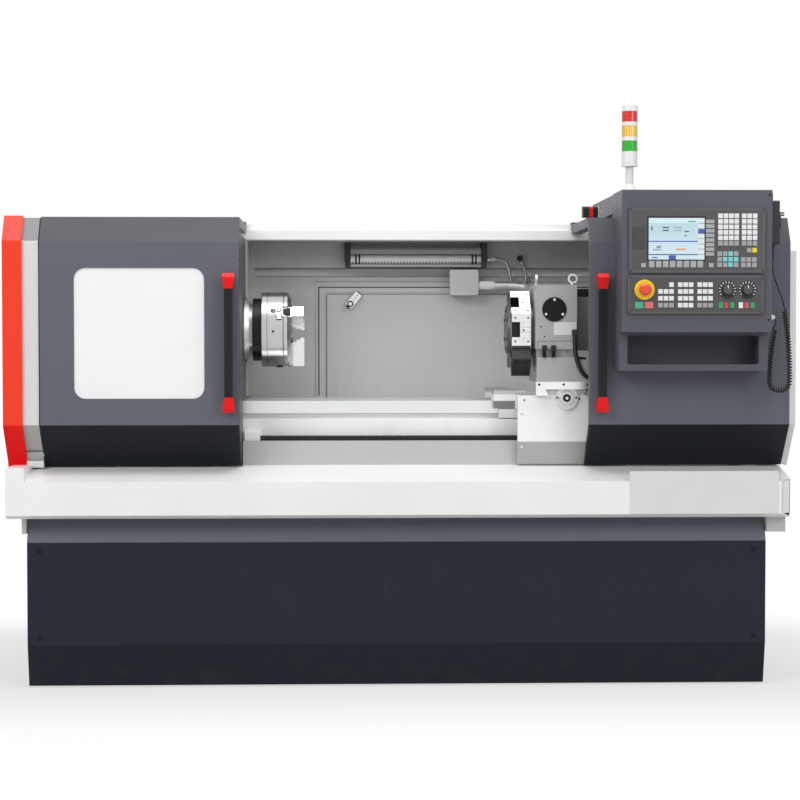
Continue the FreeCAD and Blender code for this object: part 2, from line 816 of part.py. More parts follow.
def make_headstock():
    """The headstock casting on the bed, its spindle, bearings, nose cover and belt drive."""
    axis = (0, spindle_height)
    right = partition_face - 5
    outside = box("headstock_block", (headstock_left, right), (5 - bed_half_width, bed_half_width - 5),
                  (way_top, spindle_height + 200))
    soft = rounded("headstock_rounded", outside, "X", 45,
                   lambda place: place.z > spindle_height.value)
    bore = round_bar("headstock_bore_tool", "X", (headstock_left - 5, right + 5), axis, headstock_bore)
    casting = cut("headstock_bored", soft, [bore])

    rings = []
    inside = spindle_radius + shaft_clearance
    for number, start in enumerate((right - 60, headstock_left + 20)):
        rings.append(turned(f"bearing_{number + 1}", "X", axis,
                            [(start, inside), (start + 40, inside), (start + 40, headstock_bore),
                             (start, headstock_bore)]))
    cover = turned("nose_cover_ring", "X", axis,
                   [(right, spindle_radius + 0.5), (right + 20, spindle_radius + 0.5),
                    (right + 20, nose_radius), (right, nose_radius + 8)])
    node("headstock_casting", fuse("headstock_whole", [casting, cover] + rings))

    seat = spindle_radius - 10
    nose = chuck_start - backplate_thickness
    shaft = turned("spindle_turned", "X", axis,
                   [(pulley_left - 10, spindle_bore), (pulley_left - 10, seat),
                    (headstock_left, seat), (headstock_left, spindle_radius),
                    (right + 20.4, spindle_radius), (right + 20.4, nose_radius - 8),
                    (nose, nose_radius - 8), (nose, chuck_radius - 20),
                    (chuck_start, chuck_radius - 20), (chuck_start, spindle_bore)])
    wheel = pulley("spindle_pulley_turned", spindle_height, seat, spindle_pulley_radius)
    node("spindle", fuse("spindle_whole", [shaft, wheel]))

    end = pulley_left + pulley_width + 15
    bulk = round_bar("motor_body", "X", (end, end + 320), (0, motor_height), motor_radius)
    rear = round_bar("motor_rear_cap", "X", (end + 320, end + 350), (0, motor_height),
                     motor_radius - 25)
    face = round_bar("motor_boss", "X", (end - 8, end), (0, motor_height), motor_radius - 50)
    feet = box("motor_feet", (end + 40, end + 280), (-motor_radius + 10, motor_radius - 10),
               (shelf_height, shelf_height + 30))
    shaft_hole = round_bar("motor_shaft_hole", "X", (end - 15, end + 60), (0, motor_height),
                           motor_shaft_radius + shaft_clearance)
    node("spindle_motor", cut("motor_bored", fuse("motor_whole", [bulk, rear, face, feet]),
                              [shaft_hole]))
    stub = round_bar("motor_shaft", "X", (pulley_left - 5, end + 55), (0, motor_height),
                     motor_shaft_radius)
    wheel = pulley("motor_pulley_turned", motor_height, motor_shaft_radius, motor_pulley_radius)
    node("motor_pulley", fuse("motor_pulley_whole", [stub, wheel]))
    node("drive_belt", belt_loop())


def pulley(name, height, hub, rim):
    """A belt pulley with a lip each side."""
    lip = 6
    right = pulley_left + pulley_width
    return turned(name, "X", (0, height),
                  [(pulley_left, hub), (pulley_left, rim + lip), (pulley_left + lip, rim + lip),
                   (pulley_left + lip, rim), (right - lip, rim), (right - lip, rim + lip),
                   (right, rim + lip), (right, hub)])


def loop_wire(top_radius, low_radius, x):
    """The outline of a band round two wheels, one above the other."""
    high, low = float(spindle_height), float(motor_height)
    lean = math.asin((top_radius - low_radius) / (high - low))
    side = math.cos(lean)
    rise = math.sin(lean)
    right_top = V(x, top_radius * side, high - top_radius * rise)
    left_top = V(x, -top_radius * side, high - top_radius * rise)
    right_low = V(x, low_radius * side, low - low_radius * rise)
    left_low = V(x, -low_radius * side, low - low_radius * rise)
    edges = [Part.LineSegment(right_low, right_top).toShape(),
             Part.Arc(right_top, V(x, 0, high + top_radius), left_top).toShape(),
             Part.LineSegment(left_top, left_low).toShape(),
             Part.Arc(left_low, V(x, 0, low - low_radius), right_low).toShape()]
    return Part.Wire(edges)


def belt_loop():
    """The flat belt, clear of both pulleys by the running gap."""
    start = float(pulley_left) + 8
    near = float(gap)
    outside = loop_wire(float(spindle_pulley_radius) + near + float(belt_thickness),
                        float(motor_pulley_radius) + near + float(belt_thickness), start)
    inside = loop_wire(float(spindle_pulley_radius) + near, float(motor_pulley_radius) + near, start)
    width = V(float(pulley_width) - 16, 0, 0)
    part = doc.addObject("Part::Feature", "belt_band")
    part.Shape = Part.Face(outside).extrude(width).cut(Part.Face(inside).extrude(width))
    return part


# ---------------------------------------------------------------- fixed guards

def make_guards():
    """Sheet-metal guards round the headstock, both ends and the back, and the door rail."""
    back = tray_back - 1
    ends = (left_door_left - 4, partition_face - sheet_metal)
    body = folded_sheet(
        "headstock_guard_sheet",
        [(guard_front + 120, ledge_high), (guard_front, door_lower_bend + 2), (guard_front, rail_low - 30),
         (guard_front + 18, rail_low), (back, rail_low), (back, ledge_high)],
        sheet_metal, ends)
    node("headstock_guard", body)

    outline = [(guard_front + 118, ledge_high + 1), (guard_front - 6, door_lower_bend),
               (guard_front - 6, door_upper_bend), (guard_front + 8, rail_low - 1),
               (wall_front, rail_low - 1), (wall_front, way_top + 4), (-bed_half_width - 3, way_top + 4),
               (-bed_half_width - 3, ledge_high + 1)]
    plate = prism("partition_plate", "YZ", outline, (partition_face - sheet_metal, partition_face))
    nose_hole = round_bar("partition_hole", "X", (partition_face - 10, partition_face + 5),
                          (0, spindle_height), nose_radius + 12)
    node("headstock_partition", cut("partition_cut", plate, [nose_hole]))

    front = door_front + 6
    top = door_top - 3
    outside = [(front + door_top_setback, top), (front, door_upper_bend), (front, door_lower_bend),
               (front + door_bottom_setback, ledge_high), (back, ledge_high), (back, top)]
    inside = [(front + door_top_setback + sheet_metal, top - sheet_metal),
              (front + sheet_metal, door_upper_bend), (front + sheet_metal, door_lower_bend),
              (front + door_bottom_setback + sheet_metal, ledge_high - 5),
              (back - sheet_metal, ledge_high - 5), (back - sheet_metal, top - sheet_metal)]
    cap = prism("left_cap", "YZ", outside, (machine_left, left_door_left - 4))
    pocket(cap, "YZ", inside, (machine_left + sheet_metal, left_door_left))
    node("left_end_guard", cap)

    red = folded_sheet(
        "red_sheet",
        [(front + door_top_setback, top), (front, door_upper_bend), (front, door_lower_bend),
         (front + 92, ledge_high + 24)],
        12, (machine_left, machine_left + 60))
    node("red_end_trim", red)

    end = guard_front - 4
    outside = [(end + 120, ledge_high), (end, door_lower_bend + 2), (end, end_guard_high),
               (wall_front, end_guard_high), (wall_front, ledge_high)]
    inside = [(end + 124, ledge_high - 5), (end + sheet_metal, door_lower_bend + 2),
              (end + sheet_metal, end_guard_high + 5), (wall_front + 5, end_guard_high + 5),
              (wall_front + 5, ledge_high - 5)]
    cover = prism("right_cover", "YZ", outside, (end_guard_left, machine_right))
    pocket(cover, "YZ", inside, (end_guard_left - 5, machine_right - sheet_metal))
    hatch = rounded("hatch_rounded",
                    box("hatch", (machine_right - 10, machine_right + 5), (-hatch_size / 2, hatch_size / 2),
                        (spindle_height - hatch_size / 2, spindle_height + hatch_size / 2)), "X", 30)
    node("right_end_guard", cut("right_cover_cut", cover, [hatch]))

    rail_span = (left_door_left - 4, machine_right - 6)
    middle = rail_front + rail_depth / 2
    beam = box("rail_beam", rail_span, (rail_front, rail_front + rail_depth), (rail_low, rail_deck))
    bar = box("rail_bar", rail_span, (middle - rail_bar_width / 2, middle + rail_bar_width / 2),
              (rail_deck - 1, rail_bar_top))
    node("top_guide_rail", fuse("rail_whole", [beam, bar]))


def make_back_wall():
    """The back wall with its cable slot, framed access panel and turning latch."""
    right = machine_right - sheet_metal
    plate = box("wall_plate", (partition_face + 0.3, right), (wall_front, wall_front + sheet_metal),
                (wall_low, rail_low))
    flange = box("wall_top_flange", (partition_face + 0.3, right), (rail_front, wall_front + 1),
                 (rail_low - sheet_metal, rail_low))
    side = box("wall_left_return", (partition_face + 0.3, partition_face + 3.3), (0, wall_front + 1),
               (way_top + 8, rail_low - 1))
    back = box("wall_foot", (end_guard_left, right), (wall_front, tray_back), (wall_low, wall_low + 3))
    leg = box("wall_leg", (end_guard_left, right), (tray_back - sheet_metal, tray_back),
              (ledge_high, wall_low + 3))
    frame = box("wall_frame", (panel_left - 38, panel_right + 38), (wall_front - 4, wall_front + 1),
                (wall_low, panel_high + 49))
    slot_span = (partition_face + 20, 1000)
    slot = box("cable_slot", slot_span, (wall_front - 10, wall_front + 10), (slot_low, slot_high))
    channel = wall_front + slot_channel_depth
    channel_top = slot_high + 10
    channel_back = box("slot_channel_back", slot_span, (channel - sheet_metal, channel),
                       (slot_low - 70, channel_top))
    channel_lid = box("slot_channel_lid", slot_span, (wall_front + 1, channel),
                      (channel_top - sheet_metal, channel_top))
    room = box("panel_room", (panel_left - 8, panel_right + 8), (wall_front - 10, wall_front),
               (wall_low - 5, panel_high + 8))
    panel = box("access_plate", (panel_left, panel_right), (wall_front - 6, wall_front),
                (wall_low + 4, panel_high))
    grommet = round_bar("wall_grommet", "Y", (wall_front - 22, wall_front), (grommet_x, grommet_z), 10)
    body = fuse("wall_whole", [plate, flange, side, back, leg, panel, grommet, channel_back,
                               channel_lid, cut("wall_frame_cut", frame, [room])])
    nose_hole = round_bar("wall_nose_hole", "X", (partition_face - 5, partition_face + 10),
                          (0, spindle_height), nose_radius + 12)
    node("rear_splash_guard", cut("wall_cut", body, [slot, nose_hole]))

    hub = round_bar("latch_hub", "Y", (wall_front - 12, wall_front - 6), (latch_x, latch_z), 8)
    lever = box("latch_lever", (latch_x - 5, latch_x + 42), (wall_front - 17, wall_front - 12),
                (latch_z - 6, latch_z + 6))
    arm = fuse("latch_whole", [hub, lever])
    node("panel_latch", tilted("latch_tilted", arm, (latch_x, wall_front, latch_z), V(0, 1, 0), -50))


def tilted(name, part, centre, axis, angle):
    """A part turned once about an axis."""
    return turned_copies(name, part, centre, axis, 1, angle)[0]


def make_lamp():
    """The work lamp on the back wall and its flexible steel conduit."""
    y = (wall_front - 46, wall_front)
    ends = [box("lamp_end_left", (lamp_left, lamp_left + 18), y, (lamp_low, lamp_low + 84)),
            box("lamp_end_right", (lamp_right - 18, lamp_right), y, (lamp_low, lamp_low + 84))]
    hood = box("lamp_hood", (lamp_left + 17, lamp_right - 17), (wall_front - 44, wall_front - 10),
               (lamp_low + 46, lamp_low + 68))
    strip = box("lamp_strip", (lamp_left + 17, lamp_right - 17), (wall_front - 40, wall_front - 20),
                (lamp_low, lamp_low + 11))
    gland = round_bar("lamp_gland", "X", (lamp_right - 1, lamp_gland_x), (lamp_cord_y, lamp_gland_z), 8)
    node("lamp_housing", fuse("lamp_whole", ends + [hood, strip, gland]))
    node("lamp_tube", round_bar("lamp_glass", "X", (lamp_left + 18, lamp_right - 18),
                                (wall_front - 30, lamp_low + 28.5), 16))
    loop_low = lamp_gland_z - 91
    route = [(lamp_gland_x, lamp_cord_y, lamp_gland_z), (392, lamp_cord_y, lamp_gland_z),
             (408, 226, lamp_gland_z - 44), (412, 230, loop_low), (464, 232, loop_low),
             (466, 233, loop_low + 50), (446, 236, grommet_z - 8)]
    node("lamp_conduit", cord_tube("lamp_conduit_tube", route, 5.5))


def make_cabinet():
    """The electrical cabinet behind the headstock, with its hinged door and main switch."""
    back = cabinet_back
    outside = box("cabinet_outside", (cabinet_left, cabinet_right), (tray_back, back),
                  (cabinet_low, cabinet_high))
    room = box("cabinet_room", (cabinet_left + 3, cabinet_right - 3), (tray_back + 3, back + 5),
               (cabinet_low + 3, cabinet_high - 3))
    plinth = box("cabinet_plinth", (cabinet_left + 20, cabinet_right - 20), (tray_back + 20, back - 20),
                 (0, cabinet_low))
    plate = box("cabinet_back_plate", (cabinet_left + 40, cabinet_right - 40),
                (tray_back + 2, tray_back + 12), (cabinet_low + 40, cabinet_high - 40))
    node("electrical_cabinet", fuse("cabinet_whole", [cut("cabinet_shell", outside, [room]), plinth,
                                                      plate]))
    outside = box("cabinet_door_outside", (cabinet_left + 1, cabinet_right - 1), (back + gap, back + 22),
                  (cabinet_low + 1, cabinet_high - 1))
    room = box("cabinet_door_room", (cabinet_left + 4, cabinet_right - 4), (back, back + 19),
               (cabinet_low + 4, cabinet_high - 4))
    hinges = [round_bar(f"cabinet_hinge_{number + 1}", "Z", (z, z + 60),
                        (cabinet_left + 1, back + 22), 7)
              for number, z in enumerate((cabinet_low + 120, cabinet_high - 180))]
    axis = (cabinet_right - 90, cabinet_high - 220)
    disc = round_bar("switch_disc", "Y", (back + 22, back + 34), axis, 30)
    bar = box("switch_bar", (cabinet_right - 97, cabinet_right - 83), (back + 33, back + 56),
              (cabinet_high - 248, cabinet_high - 192))
    node("cabinet_door", fuse("cabinet_door_whole",
                              [cut("cabinet_door_shell", outside, [room]), disc,
                               rounded("switch_bar_soft", bar, "Y", 5)] + hinges))


# ---------------------------------------------------------------- doors

def door_outline(near, far, top, low):
    """The folded door section between two depths behind its outer face."""
    return [(door_front + door_top_setback + near, top), (door_front + near, door_upper_bend),
            (door_front + near, door_lower_bend), (door_front + door_bottom_setback + near, low),
            (door_front + door_bottom_setback + far, low), (door_front + far, door_lower_bend),
            (door_front + far, door_upper_bend), (door_front + door_top_setback + far, top)]


def make_door(side, left, width):
    """A folded door shell, open at the back, with two arms that ride on the top rail."""
    right = left + width
    body = prism(side + "_door_shell", "YZ", door_outline(0, door_depth, door_top, door_bottom),
                 (left, right))
    pocket(body, "YZ", door_outline(sheet_metal, door_depth + 5, door_top - sheet_metal,
                                    door_bottom + sheet_metal),
           (left + sheet_metal, right - sheet_metal))
    parts = [body]
    middle = rail_front + rail_depth / 2
    reach = rail_front - 4
    for number, start in enumerate((left, right - arm_width)):
        span = (start, start + arm_width)
        arm = box(f"{side}_arm_{number + 1}", span, (door_front + door_top_setback + 4, reach + 1),
                  (door_top - arm_height, door_top))
        shoe = box(f"{side}_shoe_{number + 1}", span, (reach, rail_front + rail_depth - 2),
                   (rail_deck + gap, rail_bar_top + 7))
        groove = box(f"{side}_groove_{number + 1}", (start - 1, start + arm_width + 1),
                     (middle - rail_bar_width / 2 - gap, middle + rail_bar_width / 2 + gap),
                     (rail_deck - 2, rail_bar_top + gap))
        parts += [arm, cut(f"{side}_shoe_cut_{number + 1}", shoe, [groove])]
    return fuse(side + "_door_whole", parts)


def make_handle(side, left):
    """A grooved grip between two caps that stand off the door and narrow towards the grip."""
    right = left + handle_width
    middle = left + handle_width / 2
    high = handle_low + handle_height
    face = door_front - handle_reach
    cap_height = size(side + "_cap_height", 48)
    caps = []
    for name, near, far in (("low", handle_low, handle_low + cap_height),
                            ("high", high, high - cap_height)):
        slope = (far - near) * 0.25
        block = prism(f"{side}_cap_{name}", "YZ",
                      [(door_front, near + slope), (face + 10, near), (face, near + slope),
                       (face + 2, far), (face + 24, far), (door_front, far - slope)],
                      (left, right))
        shoulder = near + (far - near) * 0.3
        beyond = far + (far - near) * 0.2
        flanks = []
        for number, edge in enumerate((left, right)):
            inner = middle + (edge - middle) * 0.7
            outer = middle + (edge - middle) * 1.3
            flanks.append(prism(f"{side}_cap_{name}_flank_{number + 1}", "XZ",
                                [(edge, shoulder), (inner, far), (inner, beyond),
                                 (outer, beyond), (outer, shoulder)],
                                (face - 5, door_front + 5)))
        caps.append(cut(f"{side}_cap_{name}_shaped", block, flanks))
    grip = box(side + "_grip_bar", (middle - grip_width / 2, middle + grip_width / 2),
               (face + 4, face + 22), (handle_low + cap_height, high - cap_height))
    grooves = [box(f"{side}_grip_groove_{step}", (middle + step * 6 - 1, middle + step * 6 + 1),
                   (face, face + 6), (handle_low, high))
               for step in (-1, 0, 1)]
    return together(side + "_handle_set", caps + [cut(side + "_grip_grooved", grip, grooves)])


def make_doors():
    left_shell = make_door("left", left_door_left, left_door_width)
    hole = rounded("window_hole_rounded",
                   box("window_hole", (window_left, window_left + window_width),
                       (door_front - 5, door_front + 10), (window_low, window_low + window_height)),
                   "Y", window_corner)
    node("left_door", cut("left_door_cut", left_shell, [hole]))
    pane = rounded("window_pane_rounded",
                   box("window_pane", (window_left - 12, window_left + window_width + 12),
                       (door_front + sheet_metal, door_front + sheet_metal + 6),
                       (window_low - 12, window_low + window_height + 12)),
                   "Y", window_corner)
    node("left_window", pane)
    node("left_handle", make_handle("left", left_handle_left))

    node("right_handle", make_handle("right", right_handle_left))
    shell = make_door("right", right_door_left, right_door_width)
    foot = box("interlock_foot", (right_door_left + 1, right_door_left + 33),
               (door_front + 82, door_front + 116), (door_top - 1, door_top + 4))
    switch = box("interlock_case", (right_door_left - 12, right_door_left + 38),
                 (door_front + 80, door_front + 118), (door_top + 3, door_top + 38))
    key = box("interlock_key", (right_door_left + 37, right_door_left + 50),
              (door_front + 92, door_front + 106), (door_top + 14, door_top + 28))
    node("right_door", fuse("right_door_with_switch",
                            [shell, foot, key,
                             rounded("interlock_soft", switch, "X", 9,
                                     lambda place: place.z > door_top.value + 20)]))


# ---------------------------------------------------------------- chuck

def make_chuck():
    """A three-jaw chuck on its backplate, with stepped jaws in open slots."""
    axis = (0, spindle_height)
    face = chuck_start + chuck_thickness
    whole = turned("chuck_turned", "X", axis,
                   [(chuck_start, spindle_bore), (chuck_start, chuck_radius - 4),
                    (chuck_start + 4, chuck_radius), (face - 12, chuck_radius),
                    (face, chuck_radius - 16), (face, spindle_bore)])
    centre = (0, 0, spindle_height)
    slot = box("jaw_slot", (face - jaw_depth - gap, face + 5),
               (-jaw_width / 2 - gap, jaw_width / 2 + gap),
               (spindle_height + 10, spindle_height + chuck_radius + 10))
    socket = round_bar("key_socket", "Z", (spindle_height + chuck_radius - 22,
                                           spindle_height + chuck_radius + 5),
                       (chuck_start + 70 - jaw_depth, 0), 9)
    tools = turned_copies("jaw_slot_turned", slot, centre, V(1, 0, 0), 3, 60)
    tools += turned_copies("key_socket_turned", socket, centre, V(1, 0, 0), 3, 60)
    node("chuck_body", cut("chuck_cut", whole, tools))

    low = spindle_height + jaw_inner
    high = spindle_height + chuck_radius - 3
    tip = face + jaw_reach
    jaw = prism("jaw", "XZ",
                [(face - jaw_depth, low + 4), (face + 3, low + 4), (face + 3, low + 14),
                 (face + 16, low + 14), (face + 16, low + 7), (face + 29, low + 7), (face + 29, low),
                 (tip, low), (tip, high), (face + 5, high), (face + 5, high - 6),
                 (face - jaw_depth, high - 6)],
                (-jaw_width / 2, jaw_width / 2))
    for number, copy in enumerate(turned_copies("jaw_turned", jaw, centre, V(1, 0, 0), 3, 60)):
        node(f"chuck_jaw_{number + 1}", copy)


# ---------------------------------------------------------------- carriage, slide and turret

def make_carriage():
    """The saddle on the ways, its apron, the rear cable carrier and the cross-feed motor."""
    back = bed_half_width + 3
    main = box("saddle_block", (saddle_left, saddle_right), (carriage_front, back),
               (way_top + gap, saddle_top))
    front = box("saddle_front", (saddle_left, saddle_right), (carriage_front, -way_outside - gap),
                (apron_top, saddle_top))
    parts = [main, front]
    for name, x in (("left", (saddle_left - wiper_length, saddle_left)),
                    ("right", (saddle_right, saddle_right + wiper_length))):
        for side, y in (("front", (-bed_half_width, -way_inside + 10)),
                        ("back", (way_inside - 10, bed_half_width))):
            parts.append(box(f"wiper_{name}_{side}", x, y, (way_top - 24, way_top + 34)))
    way = prism("way_clearance", "YZ",
                [(-way_outside - gap, bed_bottom), (-way_outside - gap, way_top + gap),
                 (way_outside + gap, way_top + gap), (way_outside + gap, bed_bottom)],
                (saddle_left - wiper_length - 5, saddle_right + wiper_length + 5))
    keeper = box("keeper", (saddle_left - 52, saddle_left + 60),
                 (-bed_half_width, -way_outside + 19), (bed_shelf + 3, way_top - way_lip - gap))
    keeper_hang = box("keeper_hang", (saddle_left - 52, saddle_left + 60),
                      (-bed_half_width, -way_outside - gap), (bed_shelf + 3, way_top - 20))
    nut_room = (slide_middle - 40, slide_middle + 40)
    hanger = box("nut_hanger", nut_room, (screw_y - 24, -bed_half_width - 2), (screw_z, apron_top + 1))
    nut = round_bar("nut_ring", "X", (slide_middle - 55, slide_middle + 55), (screw_y, screw_z),
                    screw_radius + 5)
    dovetail = prism("saddle_dovetail", "XZ",
                     [(slide_middle - dovetail_narrow, saddle_top),
                      (slide_middle - dovetail_wide, slide_deck),
                      (slide_middle + dovetail_wide, slide_deck),
                      (slide_middle + dovetail_narrow, saddle_top)],
                     (carriage_front, back))
    bore = round_bar("nut_bore", "X", (slide_middle - 60, slide_middle + 60), (screw_y, screw_z),
                     screw_radius + shaft_clearance)
    drive = box("cross_drive_case", (slide_middle - 70, slide_middle + 70), (back - 1, back + 20),
                (way_top - 137, saddle_top - 4))
    front = carriage_front
    cap = turned("screw_cap_turned", "Y", (slide_middle, cap_height),
                 [(front - 14, 0), (front, 0), (front, 37), (front - 8, 37), (front - 8, 24),
                  (front - 14, 22)])
    flat = box("screw_cap_flat", (slide_middle - 50, slide_middle + 50), (front - 20, front + 5),
               (slide_deck - 1, slide_deck + 30))
    whole = fuse("saddle_upper", parts)
    node("saddle", cut("saddle_bored",
                       fuse("saddle_whole", [cut("saddle_clear", whole, [way]), keeper, keeper_hang,
                                             hanger, nut, dovetail, drive,
                                             cut("screw_cap_cut", cap, [flat])]), [bore]))

    node("apron", prism("apron_plate", "YZ",
                        [(front, apron_top), (front, screw_z + 4), (front + 25, apron_bottom),
                         (front + 34, apron_bottom), (front + 18, screw_z + 4), (front + 18, apron_top)],
                        (saddle_left, saddle_right)))
    motor = rounded("cross_motor_soft",
                    box("cross_motor_case", (slide_middle - 50, slide_middle + 50),
                        (back + 20, back + 118), (way_top - 130, way_top - 30)), "Y", 10)

    post_y = (wall_front + sheet_metal + 9, wall_front + sheet_metal + 27)
    bar_z = (wall_low - 34, wall_low - 10)
    parts = [box("carrier_stub", (slide_middle - 101, slide_middle - 70), (back, post_y[1]), bar_z),
             box("carrier_bar", (carrier_x - 11, slide_middle - 100), post_y, bar_z),
             box("carrier_post", (carrier_x - 11, carrier_x + 11), post_y, (wall_low - 34, slot_high - 4)),
             box("carrier_finger", (carrier_x - 11, carrier_x + 11), (wall_front - 18, post_y[1]),
                 (slot_low + 4, slot_high - 4))]
    case = box("junction_case", (carrier_x - 53, carrier_x + 45), (wall_front - 66, wall_front - 18),
               (junction_low, junction_low + 88))
    gland = round_bar("junction_gland", "X", (carrier_x + 44, carrier_x + 102),
                      (conduit_y, conduit_z), 15)
    node("carriage_rear_set",
         together("rear_set", [fuse("carrier_whole", parts), motor,
                               fuse("junction_whole", [rounded("junction_soft", case, "Y", 5), gland])]))
    route = [(carrier_x + 102, conduit_y, conduit_z), (carrier_x + 168, conduit_y, conduit_z),
             (carrier_x + 217, 156, conduit_z - 9), (carrier_x + 220, 84, conduit_z - 20),
             (carrier_x + 218, 8, conduit_z - 25), (carrier_x + 218, housing_back + 14, conduit_z - 25)]
    node("turret_conduit", cord_tube("turret_conduit_tube", route, 13.5))


def make_cross_slide():
    """The dovetailed cross slide that carries the turret."""
    left = slide_middle - slide_half_width
    right = slide_middle + slide_half_width
    side = gap * 1.7
    node("cross_slide", prism("slide_body", "XZ",
                              [(left, saddle_top + gap), (left, slide_top), (right, slide_top),
                               (right, saddle_top + gap),
                               (slide_middle + dovetail_narrow + side, saddle_top + gap),
                               (slide_middle + dovetail_wide + side, slide_deck + gap),
                               (slide_middle - dovetail_wide - side, slide_deck + gap),
                               (slide_middle - dovetail_narrow - side, saddle_top + gap)],
                              (slide_front, slide_front + slide_length)))


def make_turret():
    """The turret head: cast housing, octagonal tool disc and a boring-bar block."""
    step = 27
    main = rounded("housing_soft", box("housing_main", (housing_left, housing_right),
                                       (housing_front, housing_back), (housing_low, housing_top)), "Y", 4)
    parts = [main,
             box("housing_ledge", (housing_left + 4, housing_right - 2), (housing_front + 7, housing_back),
                 (housing_low - step, housing_low + 1)),
             box("housing_base", (housing_left + 4, housing_right + 30),
                 (housing_front - 4, housing_back + 20),
                 (slide_top, housing_low - step + 1)),
             box("housing_motor", (housing_right - 1, housing_right + 52),
                 (housing_front + 62, housing_back - 10),
                 (housing_low - 5, housing_top - 12))]
    gland = round_bar("housing_gland", "Y", (housing_back - 1, housing_back + 14),
                      (carrier_x + 218, conduit_z - 25), 16)
    elbow = box("hose_elbow", (hose_x - 9, hose_x + 9), (housing_front - 21, housing_front + 1),
                (hose_z, hose_z + 18))
    fitting = box("hose_fitting", (slide_middle + slide_half_width - 16, slide_middle + slide_half_width),
                  (housing_front - 5, housing_front + 18), (slide_top, slide_top + 20))
    node("turret_housing", fuse("housing_whole", parts + [gland, elbow, fitting]))

    cover = [round_bar("housing_cover", "Y", (housing_front - 3, housing_front),
                       (housing_left + 60, spindle_height + 65), 39)]
    for number, offset in enumerate((27, 57)):
        cover.append(round_bar(f"housing_plug_{number + 1}", "Z", (housing_low - step + 1, housing_low + 8),
                               (housing_left + offset, housing_front - 6), 6))
        cover[-1] = fuse(f"housing_plug_whole_{number + 1}",
                         [cover[-1], box(f"housing_plug_neck_{number + 1}",
                                         (housing_left + offset - 4, housing_left + offset + 4),
                                         (housing_front - 6, housing_front),
                                         (housing_low, housing_low + 8))])
    eyes = []
    for number, (x, y, facing) in enumerate(((housing_right - 12, housing_front + 22, "Y"),
                                             (housing_left + 12, housing_front + 110, "X"))):
        ring = turned(f"eye_ring_{number + 1}", facing,
                      (x, housing_top + 20) if facing == "Y" else (y, housing_top + 20),
                      [((y if facing == "Y" else x) - 3, 10), ((y if facing == "Y" else x) + 3, 10),
                       ((y if facing == "Y" else x) + 3, 16), ((y if facing == "Y" else x) - 3, 16)])
        collar = round_bar(f"eye_collar_{number + 1}", "Z", (housing_top, housing_top + 6), (x, y), 8)
        eyes.append(fuse(f"eye_bolt_{number + 1}", [ring, collar]))
    node("turret_fittings", together("turret_fitting_set", cover + eyes))

    half = turret_flats / 2
    side = half * math.tan(math.radians(22.5))
    disc = new_body("turret_disc_body")
    disc.Placement = FreeCAD.Placement(V(0, float(turret_y), float(spindle_height)), FreeCAD.Rotation())
    bind(disc, "Placement.Base.y", turret_y)
    bind(disc, "Placement.Base.z", spindle_height)
    pad(disc, "YZ", [(-half, -side), (-side, -half), (side, -half), (half, -side),
                     (half, side), (side, half), (-side, half), (-half, side)],
        (turret_left, turret_left + turret_thickness))
    slot = pocket(disc, "YZ", [(-half - 5, -tool_slot / 2), (32 - half, -tool_slot / 2),
                               (32 - half, tool_slot / 2), (-half - 5, tool_slot / 2)],
                  (turret_left - 5, turret_left + 27))
    doc.recompute()
    stations = disc.newObject("PartDesign::PolarPattern", "tool_stations")
    stations.Originals = [slot]
    for feature in disc.Origin.OriginFeatures:
        if feature.Role == "X_Axis":
            stations.Axis = (feature, [""])
    stations.Angle = 360
    stations.Occurrences = 8
    disc.Tip = stations
    axis = (turret_y, spindle_height)
    face = turned("turret_face", "X", axis, [(turret_left - 8, 0), (turret_left - 8, 78),
                                             (turret_left, 82), (turret_left, 0)])
    neck = turned("turret_neck", "X", axis,
                  [(turret_left + turret_thickness - 1, 0), (turret_left + turret_thickness - 1, 88),
                   (housing_left - gap, 88), (housing_left - gap, 0)])
    node("turret_disc", fuse("turret_disc_whole", [disc, neck, face]))

    top = spindle_height - half
    block = box("boring_block", (turret_left + 1, turret_left + turret_thickness - 1),
                (turret_y - boring_width / 2, turret_y + boring_width / 2), (top - boring_reach, top))
    bore = round_bar("boring_bore", "X", (turret_left - 5, turret_left + turret_thickness + 5),
                     (turret_y, top - boring_reach / 2), boring_radius)
    holder = cut("boring_cut", rounded("boring_soft", block, "X", 5,
                                       lambda place: place.z < top.value - 20), [bore])
    node("boring_holder", tilted("boring_tilted", holder, (turret_left, turret_y, spindle_height),
                                 V(1, 0, 0), -45))

    hose_y = housing_front - 12
    route = [(hose_x, hose_y, hose_z), (hose_x, hose_y, hose_z - 28), (hose_x + 2, hose_y, hose_z - 56),
             (hose_x + 8, hose_y, hose_z - 86), (hose_x + 20, hose_y + 2, hose_z - 114),
             (hose_x + 36, hose_y + 8, hose_z - 134),
             (slide_middle + slide_half_width - 16, hose_y + 18, slide_top + 10)]
    node("turret_hose", cord_tube("turret_hose_tube", route, 7.5))


# ---------------------------------------------------------------- screws, motor and tailstock

def make_feed_screw():
    """The lengthwise ball screw in its two blocks and the servo motor that turns it."""
    left = partition_face + 14
    node("z_ballscrew", round_bar("screw_shaft", "X", (left, motor_face - 2), (screw_y, screw_z),
                                  screw_radius))
    flange = box("servo_flange", (motor_face, motor_face + 12), (screw_y - 34, screw_y + 34),
                 (screw_z - 34, screw_z + 34))
    case = rounded("servo_soft", box("servo_case", (motor_face + 11, motor_face + 150),
                                     (screw_y - 50, screw_y + 50), (screw_z - 50, screw_z + 50)), "X", 12)
    plug = box("servo_plug", (motor_face + 100, motor_face + 140), (screw_y - 15, screw_y + 15),
               (screw_z + 49, screw_z + 68))
    node("z_servo_motor", fuse("servo_whole", [flange, case, plug]))


